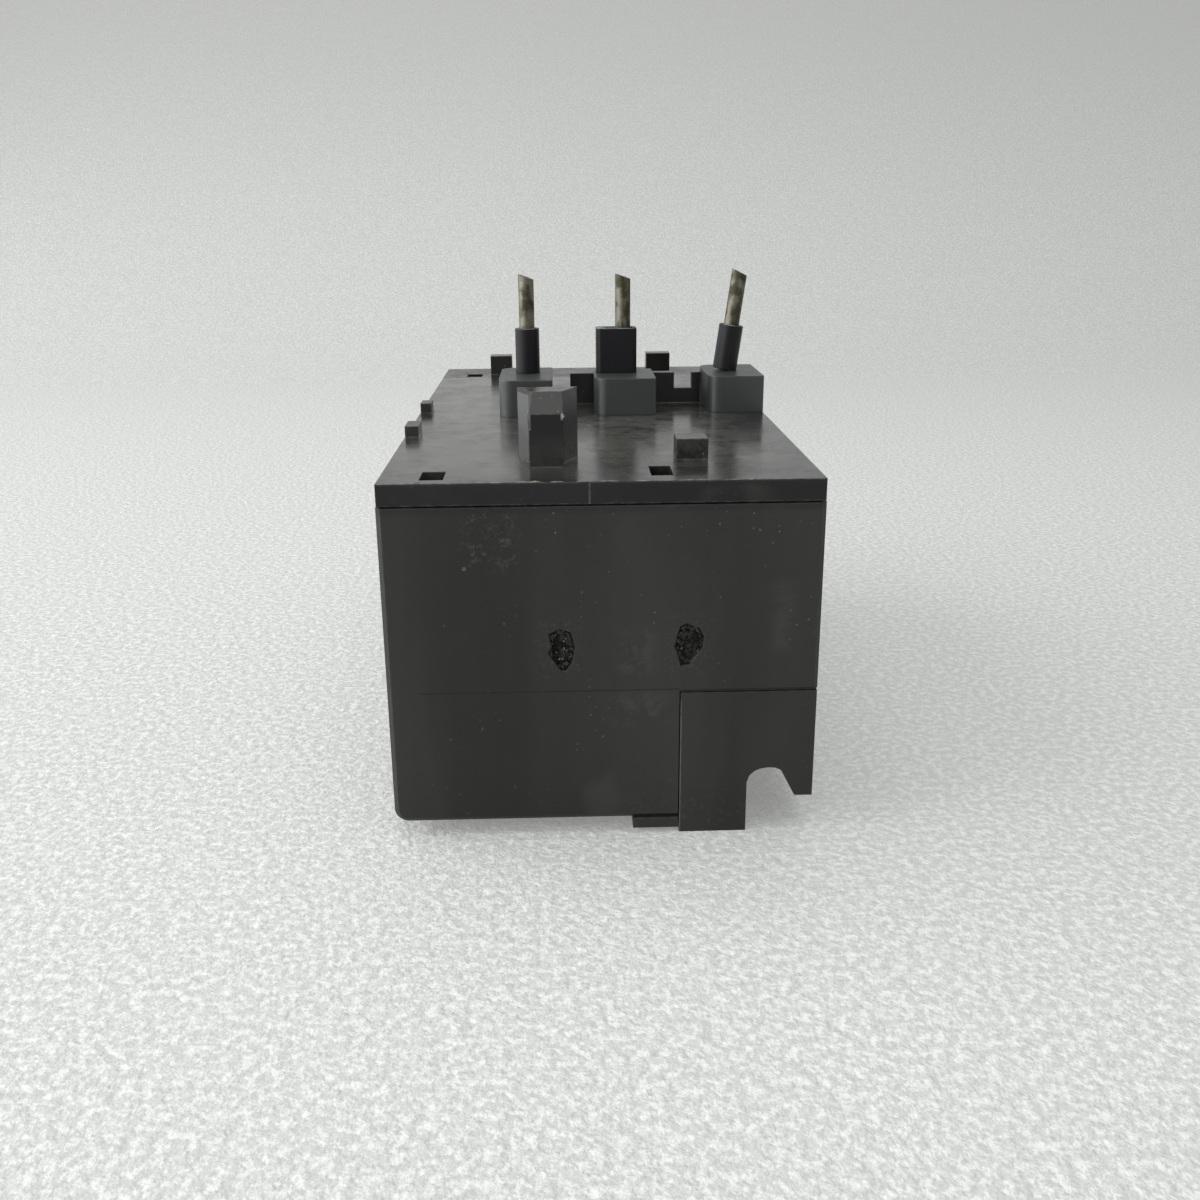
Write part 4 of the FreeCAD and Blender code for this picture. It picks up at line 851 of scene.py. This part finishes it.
@dataclass
class Studio:
    """Pale sheet that sweeps up behind the relay, pale surroundings and soft lights."""

    backdrop: Colour = (0.58, 0.585, 0.58)
    sky: Colour = (0.95, 0.98, 1.0)
    sky_strength: float = 0.44
    half_width: float = 1.3
    floor_front: float = -1.2
    sweep_start: float = 0.3
    sweep_radius: float = 0.42
    sweep_steps: int = 24
    sweep_angle: float = math.radians(86.0)
    wall_length: float = 0.7
    lamps: tuple[Lamp, ...] = (
        Lamp("top_light", (-30.0, 40.0, 480.0), (0.0, 0.0, 20.0), 0.46, 0.95),
        Lamp("window_light", (-550.0, 0.0, 230.0), (0.0, 0.0, 20.0), 0.7, 4.8),
        Lamp("left_fill", (-400.0, -330.0, 170.0), (0.0, 0.0, 30.0), 0.36, 0.6),
        Lamp("front_light", (60.0, -330.0, 480.0), (0.0, -60.0, 10.0), 0.4, 0.4),
    )

    def build(self) -> None:
        """Make the sheet, world and lights."""
        bpy.context.scene.view_settings.view_transform = "Standard"
        self.add_sheet()
        self.add_world()
        for lamp in self.lamps:
            lamp.hang()

    def add_sheet(self) -> None:
        """The sheet that the relay stands on, swept up into a backdrop."""
        profile = [(self.floor_front, 0.0), (self.sweep_start, 0.0)]
        for step in range(1, self.sweep_steps + 1):
            turn = self.sweep_angle * step / self.sweep_steps
            profile.append((self.sweep_start + self.sweep_radius * math.sin(turn),
                            self.sweep_radius * (1 - math.cos(turn))))
        along, up = profile[-1]
        profile.append((along + self.wall_length * math.cos(self.sweep_angle),
                        up + self.wall_length * math.sin(self.sweep_angle)))
        mesh = bmesh.new()
        rows = [[mesh.verts.new((side * self.half_width, along, up)) for side in (-1, 1)]
                for along, up in profile]
        for first, second in zip(rows, rows[1:]):
            mesh.faces.new((first[0], first[1], second[1], second[0]))
        data = bpy.data.meshes.new("floor")
        mesh.to_mesh(data)
        mesh.free()
        for face in data.polygons:
            face.use_smooth = True
        floor = bpy.data.objects.new("floor", data)
        data.materials.append(SHOP.material(FLOOR))
        bpy.context.scene.collection.objects.link(floor)
        LOG.info("floor laid")

    def add_world(self) -> None:
        """Soft light from all round, with the backdrop's tone wherever it is seen."""
        world = bpy.data.worlds.new("soft_sky")
        bpy.context.scene.world = world
        world.use_nodes = True
        tree = Tree(world.node_tree)
        light = tree.node("Background", Color=self.sky, Strength=self.sky_strength)
        plain = tree.node("Background", Color=self.backdrop, Strength=1.0)
        tree.node("OutputWorld",
                  Surface=tree.blend(tree.seen(), light.outputs[0], plain.outputs[0]))


# Sub-assemblies


SIDES = ("left", "centre", "right")
CONTROLS = ("95", "96", "97", "98")


@dataclass
class Housing:
    """Case, rear plate, lid and clear cover."""

    half_width: float = 22.35
    lid_top: float = 37.1
    hook_face: float = 7.0
    pit_depth: float = 0.8
    flash_runs: Pair = (1.2, 5.0)
    flash_gaps: Pair = (0.1, 1.4)
    flash_peaks: Pair = (0.06, 0.24)
    flash_swells: Pair = (0.45, 1.0)
    flash_low: float = 0.03
    flash_step: float = 0.35
    flash_foot: float = 0.25
    flash_sink: float = 0.04
    flash_inset: float = 0.02
    flash_lean: float = 0.08
    hook_tears: tuple[tuple[float, float, float, float], ...] = ((-7.28, 3.9, 6.0, -1.0),
                                                                 (-3.77, 4.9, 5.6, 1.0))
    tear_steps: int = 9
    tear_swells: Pair = (0.4, 1.0)
    tear_inset: float = 0.05
    tear_foot: Pair = (-0.25, -0.02)
    tear_crest: Point = (0.35, -0.25, 0.1)
    crumbs: int = 110
    crumb_sizes: Pair = (0.08, 0.24)
    crumb_sinks: Pair = (-0.3, 0.9)
    crumb_spread: float = 0.6
    crumb_clear: float = 1.2
    fleck_size: float = 0.5
    fleck_rise: float = 0.25
    pale_share: float = 0.12
    rim_crumbs: int = 70
    rim_sizes: Pair = (0.07, 0.19)
    rim_band: Pair = (0.8, 1.0)
    seed: int = 11

    def build(self) -> None:
        """Dress the nodes and add the marks of moulding and wear."""
        SHOP.dress(CASE_BLACK, "case", "rear_plate")
        SHOP.dress(LID_BLACK, "lid")
        SHOP.dress(COVER_CLEAR, "clear_cover")
        self.add_edge_flash()
        self.add_hook_flash()
        self.add_crumbs("left", (-4.35, 19.5), (1.25, 2.1))
        self.add_crumbs("right", (8.9, 19.9), (1.35, 2.1))

    def add_edge_flash(self) -> None:
        """Ragged flash that the mould left along the lid's rear top edge."""
        chance = random.Random(self.seed)
        mesh = bmesh.new()
        start = -self.half_width
        while start < self.half_width - 1.0:
            length = chance.uniform(*self.flash_runs)
            end = min(start + length, self.half_width)
            steps = max(3, int(length / self.flash_step))
            peak = chance.uniform(*self.flash_peaks)
            path, side, rise = [], [], []
            for step in range(steps + 1):
                share = step / steps
                across = start + (end - start) * share
                swell = math.sqrt(math.sin(math.pi * share)) * chance.uniform(*self.flash_swells)
                path.append(at(across, self.flash_inset, self.lid_top - self.flash_sink))
                side.append(Vector((0.0, self.flash_foot * MM, 0.0)))
                tall = (self.flash_low + peak * swell) * MM
                rise.append(Vector((0.0, -self.flash_lean * MM, tall)))
            add_ridge(mesh, path, side, rise)
            start = end + chance.uniform(*self.flash_gaps)
        add_piece("lid_edge_flash", mesh, "housing", PALE_FLASH)

    def add_hook_flash(self) -> None:
        """Torn flash at both upper corners of the hook's front face."""
        chance = random.Random(self.seed + 1)
        mesh = bmesh.new()
        for across, low, high, lean in self.hook_tears:
            path, side, rise = [], [], []
            for step in range(self.tear_steps + 1):
                share = step / self.tear_steps
                up = self.lid_top + low + (high - low) * share
                path.append(at(across + self.tear_inset * lean, self.hook_face, up))
                side.append(Vector((self.tear_foot[0] * lean * MM, self.tear_foot[1] * MM, 0.0)))
                swell = math.sin(math.pi * share) * chance.uniform(*self.tear_swells)
                aside, back, above = self.tear_crest
                rise.append(Vector((aside * lean * swell, back * swell, above * swell)) * MM)
            add_ridge(mesh, path, side, rise)
        add_piece("hook_flash", mesh, "housing", PALE_FLASH)

    def add_crumbs(self, side: str, middle: Pair, reach: Pair) -> None:
        """Crumbs of torn plastic in one pit of the rear face and along its rim.

        Args:
            side: which pit.
            middle: its middle across and up, in millimetres.
            reach: its half width and half height.
        """
        chance = random.Random(self.seed + len(side))
        dark, pale = bmesh.new(), bmesh.new()
        for _ in range(self.crumbs):
            turn, share = chance.uniform(0, 2 * math.pi), chance.random() ** self.crumb_spread
            across = middle[0] + reach[0] * share * math.cos(turn)
            up = middle[1] + reach[1] * share * math.sin(turn)
            radius = chance.uniform(*self.crumb_sizes)
            depth = self.pit_depth - radius * chance.uniform(*self.crumb_sinks)
            if chance.random() < self.pale_share:
                add_crumb(pale, at(across, max(depth - self.fleck_rise, radius), up),
                          radius * self.fleck_size * MM, chance)
            else:
                add_crumb(dark, at(across, max(depth, radius * self.crumb_clear), up),
                          radius * MM, chance)
        rim = bmesh.new()
        for _ in range(self.rim_crumbs):
            turn, share = chance.uniform(0, 2 * math.pi), chance.uniform(*self.rim_band)
            radius = chance.uniform(*self.rim_sizes)
            across = middle[0] + reach[0] * share * math.cos(turn)
            up = middle[1] + reach[1] * share * math.sin(turn)
            add_crumb(rim, at(across, radius * self.crumb_clear, up), radius * MM, chance)
        add_piece(f"scar_rim_{side}", rim, "housing", CASE_BLACK)
        add_piece(f"scar_crumbs_{side}", dark, "housing", TORN_PLASTIC)
        add_piece(f"scar_flecks_{side}", pale, "housing", PALE_FLASH)


@dataclass(frozen=True)
class SleeveEnd:
    """Cut end of a pin sleeve, in millimetres.

    Its middle lies the given distance beyond a point of the sleeve's axis, which leans to the
    right. A power below 1 squares the round outline; flash is the most that its left side stands
    taller than the rest.
    """

    side: str
    foot: Point
    reach: Pair
    beyond: float = 0.0
    lean: float = 0.0
    power: float = 1.0
    flash: float = 0.0


@dataclass
class PinRow:
    """Three contact pins with their blocks, sleeves and leads."""

    ends: tuple[SleeveEnd, ...] = (
        SleeveEnd("left", (-8.2, 46.0, 47.52), (1.5, 1.5)),
        SleeveEnd("centre", (3.5, 46.0, 47.52), (2.6, 1.7), power=0.45, flash=0.25),
        SleeveEnd("right", (18.0, 46.0, 42.05), (1.5, 1.5), 5.7, math.radians(7.7)),
    )
    steps: int = 28
    wall: float = 0.14
    sink: float = 0.03
    heights: Pair = (0.03, 0.11)
    flash_low: float = 0.1
    flash_left: float = -0.6
    flash_back: float = 0.2
    seed: int = 23

    def build(self) -> None:
        """Dress the nodes and add the sleeves' rough rims."""
        chance = random.Random(self.seed)
        for end in self.ends:
            self.add_rim(end, chance)
        for side in SIDES:
            SHOP.dress(BLOCK_GREY, f"pin_block_{side}")
            SHOP.dress(SLEEVE_BLACK, f"pin_sleeve_{side}")
            SHOP.dress(PIN_TIN, f"contact_pin_{side}")
            SHOP.dress(COPPER, f"pin_lead_{side}")

    def add_rim(self, end: SleeveEnd, chance: random.Random) -> None:
        """Thin rough rim where a sleeve was cut, taller on the left where it has flash.

        Args:
            end: the sleeve's end.
            chance: source of the rim's uneven height.
        """
        mesh = bmesh.new()
        axis = Vector((math.sin(end.lean), 0.0, math.cos(end.lean)))
        across = Vector((math.cos(end.lean), 0.0, -math.sin(end.lean)))
        middle = at(*end.foot) + axis * end.beyond * MM
        path, inward, rise = [], [], []
        for step in range(self.steps + 1):
            turn = 2 * math.pi * (step % self.steps) / self.steps
            cos = math.copysign(abs(math.cos(turn)) ** end.power, math.cos(turn))
            sin = math.copysign(abs(math.sin(turn)) ** end.power, math.sin(turn))
            outward = across * cos * end.reach[0] * MM + Vector((0.0, sin * end.reach[1] * MM, 0.0))
            path.append(middle + outward - axis * self.sink * MM)
            inward.append(-outward.normalized() * self.wall * MM)
            tall = chance.uniform(*self.heights)
            if end.flash and cos < self.flash_left and sin < self.flash_back:
                tall += chance.uniform(self.flash_low, end.flash)
            rise.append(axis * tall * MM)
        rise[-1] = rise[0]
        add_ridge(mesh, path, inward, rise)
        add_piece(f"sleeve_rim_{end.side}", mesh, "housing", PALE_FLASH)


@dataclass
class HeaterCells:
    """Bimetal strips with their heater windings and load bars."""

    def build(self) -> None:
        """Dress the nodes."""
        for side in SIDES:
            SHOP.dress(HEATER, f"heater_winding_{side}")
            SHOP.dress(BIMETAL, f"bimetal_strip_{side}")
            SHOP.dress(COPPER, f"load_bar_{side}")


@dataclass(frozen=True)
class ScrewForm:
    """Sizes of a slotted terminal screw, in millimetres; thread_deep is a share of its pitch."""

    shank: float
    pitch: float
    head: float
    head_thick: float
    slot_half: float = 0.45
    slot_deep: float = 1.1
    chamfer: float = 0.25
    sink: float = 0.05
    thread_deep: float = 0.6
    thread_steps: int = 16
    arc_steps: int = 14


@dataclass
class TerminalBanks:
    """Load and control terminals."""

    power: ScrewForm = ScrewForm(2.0, 0.7, 3.5, 3.0)
    control: ScrewForm = ScrewForm(1.6, 0.6, 2.8, 2.0)

    def build(self) -> None:
        """Dress the nodes and replace the plain screws with threaded ones."""
        for side in SIDES:
            SHOP.dress(ZINC_STEEL, f"power_clamp_{side}", f"power_screw_{side}")
            self.add_screw(f"power_screw_{side}", self.power)
        for number in CONTROLS:
            SHOP.dress(CONTACT_BRASS, f"contact_tongue_{number}")
            SHOP.dress(ZINC_STEEL, f"control_clamp_{number}", f"control_screw_{number}")
            self.add_screw(f"control_screw_{number}", self.control)

    def add_screw(self, node: str, form: ScrewForm) -> None:
        """A slotted cheese-head screw with a cut thread, in place of a plain one.

        Args:
            node: the frame's screw, whose tip is at its low y end.
            form: the screw's sizes.
        """
        low, high = (Vector(corner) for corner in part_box(node))
        tip = Vector(((low.x + high.x) / 2, low.y, (low.z + high.z) / 2))
        length = (high.y - low.y) / MM
        mesh = bmesh.new()
        self.add_thread(mesh, tip, length - form.head_thick + form.sink, form)
        self.add_head(mesh, tip, length, form)
        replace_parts(add_piece(f"{node}_threaded", mesh, node, ZINC_STEEL), node)

    def add_thread(self, mesh: Mesh, tip: Vector, length: float, form: ScrewForm) -> None:
        """A closed shank between a root helix and a crest helix half a pitch further on.

        Args:
            mesh: mesh that takes the thread.
            tip: the screw's tip.
            length: length of the shank, in millimetres.
            form: the screw's sizes.
        """
        turn_steps = form.thread_steps
        last = int((length / form.pitch - 0.5) * turn_steps)
        step_rise = (length - form.pitch / 2) / last
        low = form.shank - form.thread_deep * form.pitch

        def spot(step: int, radius: float, lead: float) -> bmesh.types.BMVert:
            turn = 2 * math.pi * step / turn_steps
            return mesh.verts.new(tip + Vector((radius * math.cos(turn), step * step_rise + lead,
                                                radius * math.sin(turn))) * MM)

        root, crest = [], []
        for step in range(last + 1):
            fade = min(1.0, (step + 2) / turn_steps, (last - step + 2) / turn_steps)
            root.append(spot(step, low, 0.0))
            crest.append(spot(step, low + (form.shank - low) * fade, form.pitch / 2))
        for step in range(last):
            mesh.faces.new((root[step], root[step + 1], crest[step + 1], crest[step]))
            above = step + turn_steps
            if above < last:
                mesh.faces.new((crest[step], crest[step + 1], root[above + 1], root[above]))
        foot = mesh.verts.new(tip)
        top = mesh.verts.new(tip + Vector((0.0, length, 0.0)) * MM)
        for centre, loop in ((foot, root[:turn_steps + 1] + crest[:1]),
                             (top, crest[last - turn_steps:] + root[last:])):
            for first, second in zip(loop, loop[1:] + loop[:1]):
                mesh.faces.new((centre, first, second))

    def add_head(self, mesh: Mesh, tip: Vector, length: float, form: ScrewForm) -> None:
        """A cheese head: a disc with two chamfered half-moons that leave the slot between them.

        Args:
            mesh: mesh that takes the head.
            tip: the screw's tip.
            length: length of the whole screw, in millimetres.
            form: the screw's sizes.
        """
        seat, floor = length - form.head_thick, length - form.slot_deep
        whole = [2 * math.pi * step / (2 * form.arc_steps) for step in range(2 * form.arc_steps)]
        self.add_slab(mesh, tip, [(form.head, turn) for turn in whole],
                      ((seat, form.chamfer / 2), (seat + form.chamfer / 2, 0.0), (floor, 0.0)))
        edge = math.asin(form.slot_half / form.head)
        for side in (0.0, math.pi):
            arc = [edge + (math.pi - 2 * edge) * step / form.arc_steps + side
                   for step in range(form.arc_steps + 1)]
            self.add_slab(mesh, tip, [(form.head, turn) for turn in arc],
                          ((floor - form.sink, 0.0), (length - form.chamfer, 0.0),
                           (length, form.chamfer)))

    def add_slab(self, mesh: Mesh, tip: Vector, outline: Sequence[Pair],
                 levels: Sequence[Pair]) -> None:
        """A closed slab through stacked copies of an outline.

        Args:
            mesh: mesh that takes the slab.
            tip: the screw's tip.
            outline: radius, in millimetres, and angle of each corner.
            levels: distance from the tip and how far the outline is drawn in, in millimetres.
        """
        rings = []
        for along, inset in levels:
            rings.append([mesh.verts.new(tip + Vector(((radius - inset) * math.cos(turn), along,
                                                       (radius - inset) * math.sin(turn))) * MM)
                          for radius, turn in outline])
        stack_rings(mesh, rings)


@dataclass(frozen=True)
class SpringForm:
    """A compression spring along y that one joint presses against its fixed end.

    Lengths are millimetres; keep is the share of its length that is left at the joint's limit, and
    is not used.
    """

    joint: str
    fixed_end: float
    radius: float
    keep: float
    turns: float = 5.5
    closed: float = 0.9
    closed_pitch: float = 0.42
    wire: float = 0.2
    turn_steps: int = 20
    wire_steps: int = 8


@dataclass
class TripMechanism:
    """Push bars, levers, contact carriage and springs."""

    springs: tuple[tuple[str, SpringForm], ...] = (
        ("reset_spring", SpringForm("reset_press", 29.65, 2.2, 0.67)),
        ("stop_spring", SpringForm("stop_press", 29.65, 2.2, 0.735)),
        ("trip_spring", SpringForm("carriage_slide", 10.15, 1.8, 0.755)),
    )

    def build(self) -> None:
        """Dress the nodes and replace the plain springs with still coils."""
        SHOP.dress(NATURAL, "contact_carriage", "trip_lever", "push_bar", "follower_bar",
                   "adjusting_lever")
        SHOP.dress(BIMETAL, "compensating_lever")
        SHOP.dress(CONTACT_BRASS, "closed_bridge", "open_bridge")
        for node, form in self.springs:
            SHOP.dress(SPRING_STEEL, node)
            self.add_coil(node, form)

    def add_coil(self, node: str, form: SpringForm) -> None:
        """A round-wire coil with closed ends, in place of a plain spring.

        Args:
            node: the frame's spring.
            form: the coil's sizes.
        """
        low, high = (Vector(corner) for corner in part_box(node))
        middle = (low + high) / 2
        spots = self.coil_path(middle, low.y + form.wire * MM, high.y - form.wire * MM, form)
        mesh = bmesh.new()
        rings = []
        for index, spot in enumerate(spots):
            ahead = (spots[min(index + 1, len(spots) - 1)] - spots[max(index - 1, 0)]).normalized()
            outward = Vector((spot.x - middle.x, 0.0, spot.z - middle.z)).normalized()
            across = ahead.cross(outward).normalized()
            outward = across.cross(ahead)
            turns = [2 * math.pi * side / form.wire_steps for side in range(form.wire_steps)]
            rings.append([mesh.verts.new(spot + (outward * math.cos(turn) + across * math.sin(turn))
                                         * form.wire * MM) for turn in turns])
        stack_rings(mesh, rings)
        coil = add_piece(f"{node}_coil", mesh, "housing", SPRING_STEEL, smooth=True)
        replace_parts(coil, node)
        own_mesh(coil)

    def coil_path(self, middle: Vector, start: float, end: float, form: SpringForm) -> list[Vector]:
        """Points along the middle of a coil's wire.

        Args:
            middle: the coil's middle.
            start: height along y of its first turn, in metres.
            end: height along y of its last turn.
            form: the coil's sizes.

        Returns:
            The points, from start to end.
        """
        last = int(form.turns * form.turn_steps)
        dead = form.closed * form.turn_steps
        creep = form.closed_pitch * form.closed * MM
        spots = []
        for step in range(last + 1):
            turn = 2 * math.pi * step / form.turn_steps
            if step <= dead:
                along = start + creep * step / dead
            elif step >= last - dead:
                along = end - creep * (last - step) / dead
            else:
                share = (step - dead) / (last - 2 * dead)
                along = start + creep + (end - start - 2 * creep) * share
            spots.append(Vector((middle.x + form.radius * MM * math.cos(turn), along,
                                 middle.z + form.radius * MM * math.sin(turn))))
        return spots


@dataclass
class ControlFront:
    """Dial, selector, buttons and flag."""

    dial: Pair = (-15.2, 29.4)
    face: float = 86.8
    tick_reach: Pair = (4.6, 5.3)
    tick_halves: Pair = (0.14, 0.08)
    tick_rise: float = 0.08
    sweep: float = math.radians(100.0)
    ticks: int = 9

    def build(self) -> None:
        """Dress the nodes and add the dial's scale."""
        self.add_scale()
        for finish, node in ((DIAL_WHITE, "setting_dial"), (SELECTOR_GREY, "mode_selector"),
                             (RESET_BLUE, "reset_button"), (STOP_RED, "stop_button"),
                             (TEST_GREY, "test_button"), (FLAG_ORANGE, "trip_flag")):
            SHOP.dress(finish, node)

    def add_scale(self) -> None:
        """Fine raised ticks round the dial's opening, every other one thicker."""
        mesh = bmesh.new()
        start = at(self.dial[0], self.face - 0.02, self.dial[1])
        rise = Vector((0.0, self.tick_rise * MM, 0.0))
        for index in range(self.ticks):
            turn = -self.sweep + 2 * self.sweep * index / (self.ticks - 1)
            out = Vector((math.sin(turn), 0.0, math.cos(turn)))
            side = Vector((math.cos(turn), 0.0, -math.sin(turn))) * self.tick_halves[index % 2] * MM
            add_ridge(mesh, [start + out * reach * MM - side for reach in self.tick_reach],
                      [side * 2] * 2, [rise] * 2)
        add_piece("dial_scale", mesh, "housing", DIAL_WHITE)


def main() -> None:
    """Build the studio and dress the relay."""
    logging.basicConfig(level=logging.INFO)
    PhotoCamera().build()
    Studio().build()
    for assembly in (Housing(), PinRow(), HeaterCells(), TerminalBanks(), TripMechanism(),
                     ControlFront()):
        assembly.build()


if __name__ == "__main__":
    main()
